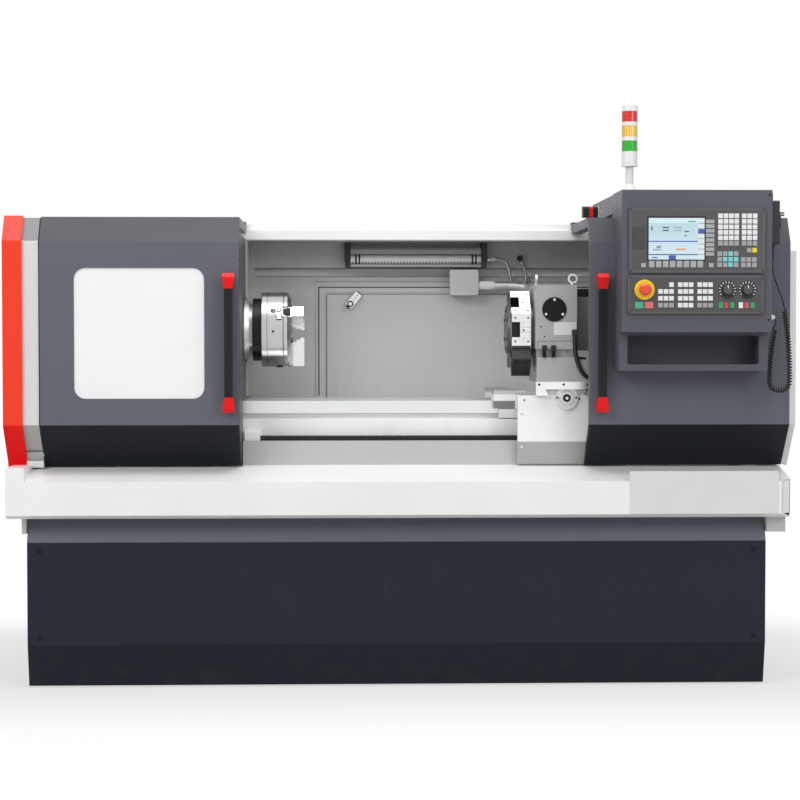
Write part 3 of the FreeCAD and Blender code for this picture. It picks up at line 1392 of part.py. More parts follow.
def make_tailstock():
    """The tailstock casting, its quill and the handwheel that feeds it."""
    right = tail_left + tail_length
    shoe = box("tail_shoe", (tail_left, right), (-way_outside, way_outside), (way_top + gap, way_top + 50))
    tongue = box("tail_tongue", (tail_left + 10, right - 10), (-way_inside + 1, way_inside - 1),
                 (way_top - 20, way_top + 5))
    web = prism("tail_web", "YZ", [(-130, way_top + 49), (-58, spindle_height - 10),
                                   (58, spindle_height - 10), (130, way_top + 49)],
                (tail_left + 15, right - 25))
    barrel = round_bar("tail_barrel", "X", (tail_left, right - 10), (0, spindle_height), quill_radius + 32)
    lock = round_bar("tail_lock_boss", "Z", (spindle_height, spindle_height + quill_radius + 48),
                     (tail_left + 60, 0), 14)
    bore = round_bar("tail_bore", "X", (tail_left - 5, right - 22), (0, spindle_height),
                     quill_radius + shaft_clearance)
    screw_hole = round_bar("tail_screw_hole", "X", (right - 30, right), (0, spindle_height),
                           quill_screw_radius + shaft_clearance)
    whole = fuse("tail_casting", [shoe, tongue, web, barrel, lock])
    node("tailstock_body", cut("tail_bored", whole, [bore, screw_hole]))

    nose = tail_left - quill_out
    shaft = round_bar("quill_shaft", "X", (nose, right - 65), (0, spindle_height), quill_radius)
    taper = tapered_bar("quill_taper", "X", (nose - 1, nose + 90), (0, spindle_height), 15.6, 13)
    nut = round_bar("quill_screw_room", "X", (nose + 100, right), (0, spindle_height),
                    quill_screw_radius + shaft_clearance)
    node("tailstock_quill", cut("quill_bored", shaft, [taper, nut]))

    hub_start = right - 10 + gap
    rim = handwheel_radius
    wheel = turned("wheel_turned", "X", (0, spindle_height),
                   [(hub_start, 12), (hub_start, 30), (hub_start + 14, 30), (hub_start + 18, rim - 14),
                    (hub_start + 14, rim - 12), (hub_start + 14, rim), (hub_start + 28, rim),
                    (hub_start + 28, rim - 12), (hub_start + 24, 30), (hub_start + 34, 26),
                    (hub_start + 34, 12)])
    stub = round_bar("quill_screw", "X", (nose + 145, hub_start + 36), (0, spindle_height),
                     quill_screw_radius)
    crank = round_bar("wheel_crank", "X", (hub_start + 20, hub_start + 74),
                      (0, spindle_height + rim - 16), 9)
    node("quill_handwheel", fuse("wheel_whole", [wheel, stub, crank]))


# ---------------------------------------------------------------- control box

def make_control_box():
    """The operator's box on the right door, its duct over the door and its storage shelf."""
    step = door_front + door_top_setback
    case = prism("control_case", "YZ",
                 [(box_front, box_low), (box_front, box_high), (step - 2, box_high),
                  (step - 2, door_top + gap), (step, door_top), (door_front, door_upper_bend),
                  (door_front, box_low)],
                 (box_left, box_right))
    pocket(case, "YZ", [(box_front + 3, box_low + 3), (box_front + 3, box_high - 3),
                        (step - 5, box_high - 3), (step - 5, door_top + 3),
                        (door_front - 3, door_upper_bend), (door_front - 3, box_low + 3)],
           (box_left + 3, box_right - 3))
    duct = box("control_duct", (box_left, box_left + 320), (step - 3, rail_front + rail_depth - 2),
               (door_top + gap + 12, box_high - 3))
    shelf = box("storage_case", (box_left, box_right), (shelf_front, door_front), (shelf_low, box_low + 1))
    recess = rounded("storage_recess_soft",
                     box("storage_recess", (box_left + 26, box_right - 28),
                         (shelf_front - 5, door_front - 12),
                         (shelf_low + 20, box_low - 10)), "Y", 8)
    gland = round_bar("cord_gland", "X", (box_right, box_right + 10), (pendant_y, gland_z), 7)
    node("control_box", cut("control_cut", fuse("control_whole", [case, duct, shelf, gland]), [recess]))

    right = display_left + display_width
    y = (box_front - plate_thickness, box_front)
    node("operator_unit", rounded("display_soft",
                                  box("display_plate", (display_left, right), y,
                                      (display_low, display_low + display_height)), "Y", 5))
    node("operator_screen", box("screen_glass", (display_left + 60, display_left + 232),
                                (box_front - plate_thickness - 1, box_front - plate_thickness),
                                (display_low + 41, display_low + 168)))
    plate = rounded("console_soft", box("console_plate", (console_left, console_left + display_width),
                                        y, (console_low, console_low + console_height)), "Y", 5)
    make_keys()

    face = box_front - plate_thickness
    place = (console_left + 51, console_low + 74)
    collar = turned("estop_collar_turned", "Y", place, [(face, 0), (face, 31), (face - 4, 31),
                                                        (face - 6, 28), (face - 6, 0)])
    hole = round_bar("estop_hole", "Y", (face - 10, box_front), place, estop_stem + shaft_clearance)
    node("machine_panel", cut("machine_panel_bored", fuse("machine_panel_whole", [plate, collar]), [hole]))
    node("estop_button", turned("estop_turned", "Y", place,
                                [(face - 1, 0), (face - 1, estop_stem), (face - 14, estop_stem),
                                 (face - 14, 18),
                                 (face - 22, 18), (face - 27, 12), (face - 27, 0)]))
    for name, offset in (("feed", 307), ("spindle", 369)):
        knob = turned(f"{name}_knob_turned", "Y", (console_left + offset, console_low + 74),
                      [(face - gap, 0), (face - gap, 15.5), (face - 12, 14), (face - 14, 12),
                       (face - 14, 0)])
        node(f"{name}_override_knob", knob)


def key_grid(prefix, left, high, columns, rows, pitch_x, pitch_z, width, height):
    """A block of key caps that stand on the panel face."""
    face = box_front - plate_thickness
    caps = []
    for column in range(columns):
        for row in range(rows):
            x = left + pitch_x * column
            z = high - pitch_z * row
            caps.append(box(f"{prefix}_{column + 1}_{row + 1}", (x, x + width), (face - 2, face),
                            (z - height, z)))
    return caps


def make_keys():
    """The key caps of the display unit and of the machine panel."""
    left = display_left
    high = display_low + display_height
    caps = key_grid("soft_side", left + 236, high - 37, 1, 8, 0, 14.2, 26, 11)
    caps += key_grid("soft_low", left + 61, high - 163, 8, 1, 21.4, 0, 17, 20)
    caps += key_grid("soft_end", left + 37, high - 170, 1, 1, 0, 0, 14, 13)
    caps += key_grid("soft_next", left + 246, high - 170, 1, 1, 0, 0, 14, 13)
    caps += key_grid("letters", left + 274, high - 18, 4, 6, 16.7, 16.9, 14, 14)
    caps += key_grid("digits", left + 347, high - 18, 3, 6, 16.9, 16.9, 14, 14)
    caps += key_grid("modes", left + 363, high - 123, 2, 1, 17, 0, 14, 14)
    caps += key_grid("cursors", left + 272, high - 134, 4, 3, 16.9, 17, 14, 14)
    caps += key_grid("edits", left + 345, high - 152, 3, 2, 17, 16.5, 14, 14)
    caps += key_grid("port_cover", left + 11, high - 61, 1, 1, 0, 0, 37, 64)
    left = console_left
    high = console_low + console_height
    caps += key_grid("start_stop", left + 22, high - 81, 2, 1, 30, 0, 26, 20)
    caps += key_grid("axis_keys", left + 93, high - 42, 3, 3, 17, 21, 14, 14)
    caps += key_grid("axis_top", left + 127, high - 21, 1, 1, 0, 0, 14, 14)
    caps += key_grid("mode_keys", left + 154, high - 21, 3, 4, 16.7, 21, 14, 14)
    caps += key_grid("tool_keys", left + 214, high - 21, 3, 4, 16.7, 21, 14, 14)
    caps += key_grid("feed_keys", left + 280, high - 82, 3, 1, 17.5, 0, 13, 18)
    caps += key_grid("speed_keys", left + 342, high - 82, 3, 1, 18, 0, 13, 18)
    node("key_caps", together("key_cap_set", caps))


def make_tower():
    """The signal tower: a pole, a ringed white stack and three coloured lenses."""
    centre = (tower_x, tower_y)
    foot = tapered_bar("tower_foot", "Z", (box_high, box_high + 22), centre, 24, 13)
    pole = round_bar("tower_pole", "Z", (box_high + 20, tower_base), centre, 12.5)
    rings = []
    for name, low, high in (("base", 0, 46), ("low_ring", 79, 91), ("high_ring", 125, 137),
                            ("cap", 170, 187)):
        rings.append(round_bar("tower_" + name, "Z", (tower_base + low, tower_base + high), centre,
                               tower_radius))
    core = round_bar("tower_core", "Z", (tower_base, tower_base + 180), centre, 15)
    node("signal_tower", fuse("tower_whole", [foot, pole, core] + rings))
    lenses = []
    for name, low, high in (("green", 46, 79), ("amber", 91, 125), ("red", 137, 170)):
        outer = round_bar(f"{name}_lens", "Z", (tower_base + low, tower_base + high), centre,
                          tower_radius - 0.5)
        hole = round_bar(f"{name}_lens_hole", "Z", (tower_base + low - 1, tower_base + high + 1), centre, 15)
        lenses.append(cut(f"{name}_lens_ring", outer, [hole]))
    node("signal_lenses", together("signal_lens_set", lenses))


def make_pendant():
    """The hand-held pulse unit hung on the box, with its lead, curly cord and gland."""
    y = (pendant_y - 40, pendant_y + 40)
    body = rounded("pendant_soft", box("pendant_case", (box_right + 1, box_right + 30), y,
                                       (pendant_low, pendant_low + 135)), "X", 8)
    hook = box("pendant_hook", (box_right, box_right + 14), (pendant_y - 15, pendant_y + 15),
               (pendant_low + 100, pendant_low + 160))
    relief = tapered_bar("pendant_relief", "Z", (pendant_low - 53, pendant_low + 1),
                         (lead_x, pendant_y), 5, 9)
    node("pendant_body", fuse("pendant_whole", [body, hook, relief]))
    node("pendant_wheel", fuse("pendant_wheel_whole",
                               [round_bar("pendant_dial", "X", (box_right + 30 + gap, box_right + 37),
                                          (pendant_y, pendant_low + 72), 29),
                                round_bar("pendant_crank", "X", (box_right + 36, box_right + 52),
                                          (pendant_y, pendant_low + 95), 6.5)]))
    top = curl_top
    lead = [(lead_x, pendant_y, pendant_low - 53), (lead_x, pendant_y, top + 114),
            (lead_x + 12, pendant_y, top + 80), (lead_x + 24, pendant_y, top + 49),
            (lead_x + 34, pendant_y, top + 24), (lead_x + 38, pendant_y, top)]
    low = top - 257
    curls = [(lead_x + 38, pendant_y, top), (lead_x + 48, pendant_y, top - 60),
             (lead_x + 54, pendant_y, top - 128), (lead_x + 57, pendant_y, top - 192),
             (lead_x + 57, pendant_y, low), (lead_x - 6, pendant_y, low),
             (lead_x - 6, pendant_y, top - 195), (lead_x - 1, pendant_y, top - 134),
             (lead_x + 6, pendant_y, top - 93), (lead_x + 11, pendant_y, top - 58)]
    tail = [(lead_x + 11, pendant_y, top - 58), (lead_x + 15, pendant_y, gland_z),
            (box_right + 10, pendant_y, gland_z)]
    node("pendant_cord", curly_cord("pendant_curls", lead, curls, tail))


# ---------------------------------------------------------------- build, check and write

make_base()
make_tray()
make_bed()
make_headstock()
make_guards()
make_back_wall()
make_lamp()
make_cabinet()
make_doors()
make_chuck()
make_carriage()
make_cross_slide()
make_turret()
make_feed_screw()
make_tailstock()
make_control_box()
make_tower()
make_pendant()

doc.recompute()
faults = [part.Name for part in doc.Objects if {"Invalid", "Error"} & set(part.State)]
for part in nodes:
    if part.Shape.isNull() or not part.Shape.isValid():
        faults.append(part.Label)
if faults:
    raise RuntimeError(f"failed objects: {faults}")
os.makedirs("parts", exist_ok=True)
for part in nodes:
    part.Shape.exportStep(os.path.join("parts", part.Label + ".step"))
print(len(nodes), "nodes written")
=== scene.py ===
"""A numerically controlled turning lathe, dressed over its fixed frame."""

import math

import bpy
from mathutils import Matrix, Vector


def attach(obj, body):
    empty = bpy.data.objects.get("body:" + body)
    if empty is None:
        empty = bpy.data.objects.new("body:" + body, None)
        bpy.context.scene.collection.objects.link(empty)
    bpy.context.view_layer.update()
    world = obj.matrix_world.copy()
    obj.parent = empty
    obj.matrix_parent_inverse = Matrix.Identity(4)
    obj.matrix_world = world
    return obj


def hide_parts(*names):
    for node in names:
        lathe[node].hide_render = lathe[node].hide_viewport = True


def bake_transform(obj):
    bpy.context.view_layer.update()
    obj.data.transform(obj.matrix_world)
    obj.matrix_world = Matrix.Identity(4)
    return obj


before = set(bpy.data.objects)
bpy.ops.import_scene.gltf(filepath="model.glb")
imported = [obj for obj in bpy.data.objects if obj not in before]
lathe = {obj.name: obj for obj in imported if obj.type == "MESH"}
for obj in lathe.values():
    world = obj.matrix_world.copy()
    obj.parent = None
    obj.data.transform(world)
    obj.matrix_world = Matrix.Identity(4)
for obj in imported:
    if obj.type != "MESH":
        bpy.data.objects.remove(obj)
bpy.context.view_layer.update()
scene = bpy.context.scene
scene.view_settings.view_transform = "Standard"

# Lengths are in millimetres unless a line says metres.
FAR = 9999  # past the machine on every side
SPINDLE_HEIGHT = 1130
SPINDLE_AXIS = (0, 0, SPINDLE_HEIGHT)
TURRET_AXIS = (0, -163, SPINDLE_HEIGHT)
TURRET_FLATS = 8
DIAL_CENTRES = (1007, 1069)
DIAL_HEIGHT = 1252
STOP_CENTRE = (751, 1252)
DEGREES = 180 / math.pi  # in one radian


# ------------------------------------------------------------------ camera

def set_camera():
    """The camera stands in front of the machine, a little left of its middle."""
    bpy.ops.object.camera_add(location=(-0.1835, -6.590, 1.129),
                              rotation=(math.radians(87.95), 0, math.radians(-1.755)))
    camera = bpy.context.object
    camera.name = "front_camera"
    camera.data.sensor_width = 36
    camera.data.lens = 88.11
    camera.data.clip_end = 200
    scene.camera = camera


set_camera()


# ------------------------------------------------------------------ cords and conduits

def metres(place):
    return tuple(length / 1000 for length in place)


def laid_line(name, route):
    """A smooth line over a route."""
    curve = bpy.data.curves.new(name, "CURVE")
    curve.dimensions = "3D"
    spline = curve.splines.new("NURBS")
    spline.points.add(len(route) - 1)
    for point, place in zip(spline.points, route):
        point.co = (*metres(place), 1)
    spline.order_u = 3
    spline.use_endpoint_u = True
    curve.resolution_u = 12
    line = bpy.data.objects.new(name, curve)
    scene.collection.objects.link(line)
    return line


def places_along(name, route):
    """The places along a smooth line over a route, in metres."""
    line = laid_line(name, route)
    mesh = bpy.data.meshes.new_from_object(line)
    places = [vertex.co.copy() for vertex in mesh.vertices]
    bpy.data.meshes.remove(mesh)
    bpy.data.objects.remove(line)
    return places


def runs_between(places):
    return [(after - before).length for before, after in zip(places, places[1:])]


def walk(places, step):
    """Places and directions an even step apart along a line."""
    runs = runs_between(places)
    total = sum(runs)
    count = max(2, round(total / step))
    stops = []
    index, done = 0, 0.0
    for number in range(count + 1):
        reach = min(total / count * number, total - 1e-9)
        while index < len(runs) - 1 and done + runs[index] < reach:
            done += runs[index]
            index += 1
        way = places[index + 1] - places[index]
        stops.append((places[index] + way * ((reach - done) / runs[index]), way.normalized()))
    return stops


def ribbed_tube(name, stops, radius, depth, sides=20):
    """A corrugated tube through stops that lie a quarter of a rib apart."""
    points, faces = [], []
    side = stops[0][1].orthogonal().normalized()
    for number, (place, way) in enumerate(stops):
        side = (side - way * side.dot(way)).normalized()
        up = way.cross(side)
        reach = radius - depth * (0.5 - 0.5 * math.cos(math.pi * number / 2))
        for corner in range(sides):
            turn = 2 * math.pi * corner / sides
            points.append(place + (side * math.cos(turn) + up * math.sin(turn)) * reach)
    last = (len(stops) - 1) * sides
    for start in range(0, last, sides):
        for corner in range(sides):
            after = (corner + 1) % sides
            faces.append((start + corner, start + after,
                          start + sides + after, start + sides + corner))
    faces.append(tuple(range(sides - 1, -1, -1)))
    faces.append(tuple(last + corner for corner in range(sides)))
    mesh = bpy.data.meshes.new(name)
    mesh.from_pydata(points, [], faces)
    for face in mesh.polygons:
        face.use_smooth = len(face.vertices) == 4
    tube = bpy.data.objects.new(name, mesh)
    scene.collection.objects.link(tube)
    return tube


def lay_conduit(name, route, radius, pitch, depth):
    """A corrugated conduit over its route; sizes in metres."""
    places = places_along(name + "_line", route)
    stops = walk(places, pitch / 4)
    tube = ribbed_tube(name, stops, radius, depth)
    metres(route[0])
    return tube


LAMP_ROUTE = [(355, 222, 1374), (392, 222, 1374), (408, 226, 1330), (412, 230, 1283),
              (464, 232, 1283), (466, 233, 1333), (446, 236, 1370)]
TURRET_ROUTE = [(352, 205, 1284), (418, 205, 1284), (467, 156, 1275), (470, 84, 1264),
                (468, 8, 1259), (468, -66, 1259)]
HOSE_ROUTE = [(570, -324, 1112), (570, -324, 1084), (572, -324, 1056), (578, -324, 1026),
              (590, -322, 998), (606, -316, 978), (630, -306, 972)]
CORD_DEPTH = -520  # the cord of the hand unit hangs in one upright plane
LEAD_ROUTE, CURL_ROUTE, TAIL_ROUTE = (
    [(x, CORD_DEPTH, z) for x, z in route] for route in (
        ((1162, 1341), (1162, 1312), (1174, 1278), (1186, 1247), (1196, 1222), (1200, 1198)),
        ((1200, 1198), (1210, 1138), (1216, 1070), (1219, 1006), (1219, 941), (1156, 941),
         (1156, 1003), (1161, 1064), (1168, 1105), (1173, 1140)),
        ((1173, 1140), (1177, 1168), (1156, 1168))))
CURLS, STOPS_PER_CURL = 54, 14
CURL_RADIUS, RUN_IN = 0.0068, 0.010  # metres


def lay_curly_cord():
    """The cord of the hand unit: a lead, the curls round its hanging loop, and a tail."""
    places = places_along("curl_middle", CURL_ROUTE)
    step = (sum(runs_between(places)) - 2 * RUN_IN) / (CURLS * STOPS_PER_CURL)
    skip = round(RUN_IN / step)
    curls = []
    side = Vector((0, 1, 0))
    for number, (place, way) in enumerate(walk(places, step)[skip:-skip]):
        turn = 2 * math.pi * number / STOPS_PER_CURL
        out = way.cross(side).normalized()
        reach = (out * math.cos(turn) + side * math.sin(turn)) * CURL_RADIUS
        curls.append(tuple((place + reach) * 1000))
    cord = laid_line("pendant_curly_cord", LEAD_ROUTE + curls + TAIL_ROUTE)
    cord.data.resolution_u = 2
    cord.data.bevel_depth = 0.002
    cord.data.bevel_resolution = 2
    cord.data.use_fill_caps = True
    metres(LEAD_ROUTE[0])
    return cord


lamp_flex = lay_conduit("lamp_flexible_conduit", LAMP_ROUTE, 0.0055, 0.0032, 0.0008)
turret_flex = lay_conduit("turret_flexible_conduit", TURRET_ROUTE, 0.0135, 0.0052, 0.0016)
coolant_hose = lay_conduit("turret_coolant_hose", HOSE_ROUTE, 0.0075, 0.0036, 0.0006)
curly_cord = lay_curly_cord()


# ------------------------------------------------------------------ shader sums

class Amount:
    """A number that changes over a surface; sums written with it add Math nodes."""

    def __init__(self, finish, socket):
        self.finish, self.socket = finish, socket

    def sum(self, operation, *terms, clamp=False):
        settings = {"operation": operation, "use_clamp": clamp}
        node = self.finish.make("ShaderNodeMath", settings, dict(enumerate(terms)))
        return Amount(self.finish, node.outputs[0])

    def __add__(self, other):
        return self.sum("ADD", self, other)

    __radd__ = __add__

    def __sub__(self, other):
        return self.sum("SUBTRACT", self, other)

    def __rsub__(self, other):
        return self.sum("SUBTRACT", other, self)

    def __mul__(self, other):
        return self.sum("MULTIPLY", self, other)

    def __truediv__(self, other):
        return self.sum("DIVIDE", self, other)

    def __gt__(self, other):
        return self.sum("GREATER_THAN", self, other)

    def __lt__(self, other):
        return self.sum("LESS_THAN", self, other)

    def beyond(self, limit):
        """How far the value stands outside plus or minus a limit."""
        return self.sum("MAXIMUM", self.sum("ABSOLUTE", self) - limit, 0)

    def clamped(self):
        return self.sum("ADD", self, 0, clamp=True)

    def repeat(self, length):
        """Where along each repeat of a length the value stands, from 0 to 1."""
        return self.sum("FRACT", self / length)

    def wave(self, length):
        """A sine that runs once over each length."""
        return self.sum("SINE", self * (2 * math.pi / length))

    def from_centre(self, other):
        """The distance from a centre, over this value and the one across it."""
        return self.sum("SQRT", self * self + other * other)

    def ramp(self, low, high):
        """From 0 at the low value to 1 at the high one."""
        inputs = {"Value": self, "From Min": low, "From Max": high}
        node = self.finish.make("ShaderNodeMapRange", {"interpolation_type": "SMOOTHSTEP"}, inputs)
        return Amount(self.finish, node.outputs[0])

    def fade(self, low, high):
        """From 1 at the low value to 0 at the high one."""
        return 1 - self.ramp(low, high)

    def between(self, low, high):
        return (self > low) * (self < high)


def shade(colour):
    """A colour ready for a socket; a single number stands for a grey."""
    if isinstance(colour, (int, float)):
        colour = (colour, colour, colour)
    return (*colour, 1) if isinstance(colour, tuple) else colour


class Finish:
    """A surface finish on the places of the object, measured in millimetres."""

    def __init__(self, name, colour, roughness, metallic=0, **fixed):
        self.material = bpy.data.materials.new(name)
        self.material.use_nodes = True
        self.tree = self.material.node_tree
        self.shader = self.tree.nodes["Principled BSDF"]
        self.normal = None
        self.colour(colour)
        self.rough(roughness)
        self.metal(metallic)
        for socket, value in fixed.items():
            self.give(socket.replace("_", " "), value)
        place = self.make("ShaderNodeTexCoord").outputs["Object"]
        self.place = self.make("ShaderNodeVectorMath", {"operation": "SCALE"},
                               {0: place, "Scale": 1000}).outputs[0]
        split = self.make("ShaderNodeSeparateXYZ", {}, {0: self.place})
        self.x, self.y, self.z = (Amount(self, socket) for socket in split.outputs)

    def feed(self, socket, value):
        if isinstance(value, Amount):
            value = value.socket
        if isinstance(value, bpy.types.NodeSocket):
            self.tree.links.new(value, socket)
        else:
            socket.default_value = value

    def give(self, socket, value):
        """Feeds a socket of the shader itself."""
        self.feed(self.shader.inputs[socket], value)

    def make(self, kind, settings=None, inputs=None):
        """Any node: its settings first, then what its sockets hold."""
        node = self.tree.nodes.new(kind)
        for setting, value in (settings or {}).items():
            setattr(node, setting, value)
        for socket, value in (inputs or {}).items():
            self.feed(node.inputs[socket], value)
        return node

    def noise(self, size, detail=3, stretch=None):
        """Cloudy noise whose patches are about a size across."""
        place = self.place
        if stretch:
            place = self.make("ShaderNodeVectorMath", {"operation": "MULTIPLY"},
                              {0: place, 1: stretch}).outputs[0]
        node = self.make("ShaderNodeTexNoise", {},
                         {"Vector": place, "Scale": 1 / size, "Detail": detail})
        return Amount(self, node.outputs[0])

    def angle(self, across, along):
        """The turn round a centre, in degrees."""
        node = self.make("ShaderNodeMath", {"operation": "ARCTAN2"}, {0: across, 1: along})
        return Amount(self, node.outputs[0]) * DEGREES

    def blend(self, mask, below, above):
        """One colour laid over another where the mask is 1."""
        node = self.make("ShaderNodeMix", {"data_type": "RGBA"})
        for index, value in ((0, mask), (6, shade(below)), (7, shade(above))):
            self.feed(node.inputs[index], value)
        return node.outputs[2]

    def colour(self, value):
        self.give("Base Color", shade(value))

    def mottle(self, mask, colour, low, high):
        """Clouds the base colour between a darker and a lighter tone of it."""
        tones = (tuple(min(1, channel * factor) for channel in shade(colour)[:3])
                 for factor in (low, high))
        self.colour(self.blend(mask, *tones))

    def cover(self, mask, colour):
        """Lays a colour over what is there."""
        socket = self.shader.inputs["Base Color"]
        below = socket.links[0].from_socket if socket.is_linked else tuple(socket.default_value)[:3]
        self.colour(self.blend(mask, below, colour))
        return self

    def rough(self, value):
        self.give("Roughness", value)

    def metal(self, value):
        self.give("Metallic", value)

    def bump(self, height, depth, strength=1):
        """Raises the surface by a height times a depth."""
        inputs = {"Height": height, "Distance": depth / 1000, "Strength": strength}
        if self.normal:
            inputs["Normal"] = self.normal
        self.normal = self.make("ShaderNodeBump", {}, inputs).outputs[0]
        self.give("Normal", self.normal)

    def patch(self, x=None, y=None, z=None):
        """1 inside a box and 0 outside it."""
        mask = None
        for value, pair in ((self.x, x), (self.y, y), (self.z, z)):
            if pair:
                part = value.between(*pair)
                mask = part if mask is None else mask * part
        return mask

    def mark(self, colour, x=None, y=None, z=None):
        """Lays a colour over all that is inside a box."""
        return self.cover(self.patch(x, y, z), colour)

    def spot(self, centre, radius):
        """1 inside a round spot seen from the front."""
        return (self.x - centre[0]).from_centre(self.z - centre[1]) < radius


# ------------------------------------------------------------------ floor and light

SOFTBOXES = (  # name, place, width and height in metres, watts
    ("left_softbox", (-3.4, -4.6, 3.9), 2.6, 2.2, 115),
    ("right_softbox", (3.6, -4.8, 3.3), 2.2, 2.2, 80),
    ("overhead_softbox", (0.2, -1.2, 4.6), 4.2, 2.2, 95),
    ("rear_softbox", (0.0, 4.8, 3.6), 3.4, 2.0, 90))
AIM = Vector((0, 0, 1))  # metres


def lay_floor():
    """A plain pale floor that turns into the white surround away from the machine."""
    bpy.ops.mesh.primitive_plane_add(size=80, location=(0, 0, 0))
    floor = bpy.context.object
    floor.name = "studio_floor"
    paint = Finish("pale_floor", 0.62, 0.9, Specular_IOR_Level=0)
    far = paint.x.beyond(1250).from_centre(paint.y.beyond(450)).ramp(40, 850)
    paint.colour(paint.blend(paint.noise(900), 0.60, 0.64))
    glow = paint.make("ShaderNodeEmission", {}, {"Color": (1, 1, 1, 1), "Strength": 1})
    rays = paint.make("ShaderNodeLightPath")
    camera, glossy, through = (Amount(paint, rays.outputs[kind]) for kind in
                               ("Is Camera Ray", "Is Glossy Ray", "Is Transmission Ray"))
    share = (camera + glossy + through).clamped() * (0.60 + far * 0.40)
    mixed = paint.make("ShaderNodeMixShader", {},
                       {0: share, 1: paint.shader.outputs[0], 2: glow.outputs[0]})
    paint.feed(paint.tree.nodes["Material Output"].inputs["Surface"], mixed.outputs[0])
    floor.data.materials.append(paint.material)


def set_surround():
    """A surround that is white to look at and softer as a light."""
    world = bpy.data.worlds.new("white_surround")
    world.use_nodes = True
    scene.world = world
    nodes, links = world.node_tree.nodes, world.node_tree.links
    nodes["Background"].inputs["Color"].default_value = (1, 1, 1, 1)
    rays = nodes.new("ShaderNodeLightPath")
    seen = rays.outputs["Is Camera Ray"]
    for kind in ("Is Transmission Ray", "Is Glossy Ray"):
        either = nodes.new("ShaderNodeMath")
        either.operation = "MAXIMUM"
        links.new(seen, either.inputs[0])
        links.new(rays.outputs[kind], either.inputs[1])
        seen = either.outputs[0]
    level = nodes.new("ShaderNodeMapRange")
    level.inputs["To Min"].default_value = 0.42
    level.inputs["To Max"].default_value = 1
    links.new(seen, level.inputs["Value"])
    links.new(level.outputs[0], nodes["Background"].inputs["Strength"])


def set_lamps():
    """Plain soft lamps, all aimed at the machine."""
    for name, place, width, height, power in SOFTBOXES:
        light = bpy.data.lights.new(name, "AREA")
        light.shape = "RECTANGLE"
        light.size, light.size_y = width, height
        light.energy = power
        lamp = bpy.data.objects.new(name, light)
        lamp.location = place
        lamp.rotation_euler = (AIM - lamp.location).to_track_quat("-Z", "Y").to_euler()
        scene.collection.objects.link(lamp)


lay_floor()
set_surround()
set_lamps()


# ------------------------------------------------------------------ plain finishes

def sheet_paint(name, colour, roughness=0.42, relief=0.05, gloss=0.35):
    """Sprayed paint on sheet metal: orange peel, cloudy gloss and a little rubbing."""
    paint = Finish(name, colour, roughness, Specular_IOR_Level=gloss)
    paint.mottle(paint.noise(260, 4), colour, 0.93, 1.05)
    rubbed = paint.noise(38, 5).ramp(0.42, 0.75)
    paint.rough(roughness - 0.05 + rubbed * 0.09)
    paint.bump(paint.noise(2.6, 2), relief)
    return paint


def scuffs(paint, strength):
    """Fine hand marks that lighten a painted face."""
    marks = paint.noise(14, 6, (1, 1, 0.12)).ramp(0.66, 0.82)
    paint.cover(marks * strength, (0.75, 0.75, 0.76))


def casting_paint(name, colour):
    """Filled and painted cast iron, coarser than sheet."""
    paint = sheet_paint(name, colour, 0.42, 0.10)
    paint.bump(paint.noise(22), 0.5, 0.5)
    oil = paint.noise(80, 5, (1, 1, 0.4)).ramp(0.55, 0.85)
    return paint.cover(oil * 0.10, (0.30, 0.28, 0.24))


def turned_steel(name, colour, rough=0.26):
    """Turned steel: fine rings round the spindle's axis and a soft cloud of oil."""
    paint = Finish(name, colour, rough, 1)
    radius = paint.y.from_centre(paint.z - SPINDLE_HEIGHT)
    sweep = paint.make("ShaderNodeCombineXYZ", {}, {0: radius, 1: paint.x}).outputs[0]
    rings = Amount(paint, paint.make("ShaderNodeTexNoise", {"noise_dimensions": "2D"}, {
        "Vector": sweep, "Scale": 1.6, "Detail": 2}).outputs[0])
    clouds = paint.noise(60, 4)
    paint.mottle(rings * 0.5 + clouds * 0.5, colour, 0.84, 1.10)
    paint.rough(rough + clouds * 0.10)
    paint.bump(rings, 0.05)
    return paint


def milled_steel(name, colour, rough=0.30, grain=(0.04, 1, 1)):
    """Ground or milled steel with a straight grain."""
    paint = Finish(name, colour, rough, 1)
    lines = paint.noise(1.4, 3, grain)
    clouds = paint.noise(45, 5)
    paint.mottle(lines * 0.6 + clouds * 0.4, colour, 0.86, 1.10)
    paint.rough(rough - 0.04 + clouds * 0.14)
    paint.bump(lines, 0.03)
    return paint


def black_moulding(name="black_moulding", colour=(0.016, 0.016, 0.018), rough=0.5):
    """Moulded plastic or rubber with a fine grain."""
    paint = Finish(name, colour, rough, Specular_IOR_Level=0.4)
    grain = paint.noise(1.1, 2)
    paint.mottle(paint.noise(30), colour, 0.85, 1.25)
    paint.rough(rough - 0.05 + grain * 0.12)
    paint.bump(grain, 0.05)
    return paint


def flexible_steel(name, colour, rough):
    """Conduit metal with grime between its ribs."""
    paint = Finish(name, colour, rough, 0.9)
    grime = paint.noise(12, 5)
    paint.mottle(grime, colour, 0.7, 1.2)
    paint.rough(rough + grime * 0.12)
    paint.bump(paint.noise(2), 0.06)
    return paint


def cord_rubber():
    paint = Finish("cord_black_rubber", (0.004, 0.004, 0.0045), 0.50, Specular_IOR_Level=0.3)
    paint.rough(0.46 + paint.noise(6) * 0.12)
    paint.bump(paint.noise(0.8), 0.03)
    return paint


def bare_plate_finish():
    """Brushed plate with nothing on it."""
    paint = Finish("bare_plate", (0.72, 0.72, 0.715), 0.42)
    brush = paint.noise(1.1, 2, (0.03, 1, 1))
    paint.colour(paint.blend(brush * 0.5 + paint.noise(60) * 0.5,
                             (0.68, 0.68, 0.675), (0.78, 0.78, 0.775)))
    paint.rough(0.38 + brush * 0.10)
    paint.bump(brush, 0.02)
    return paint


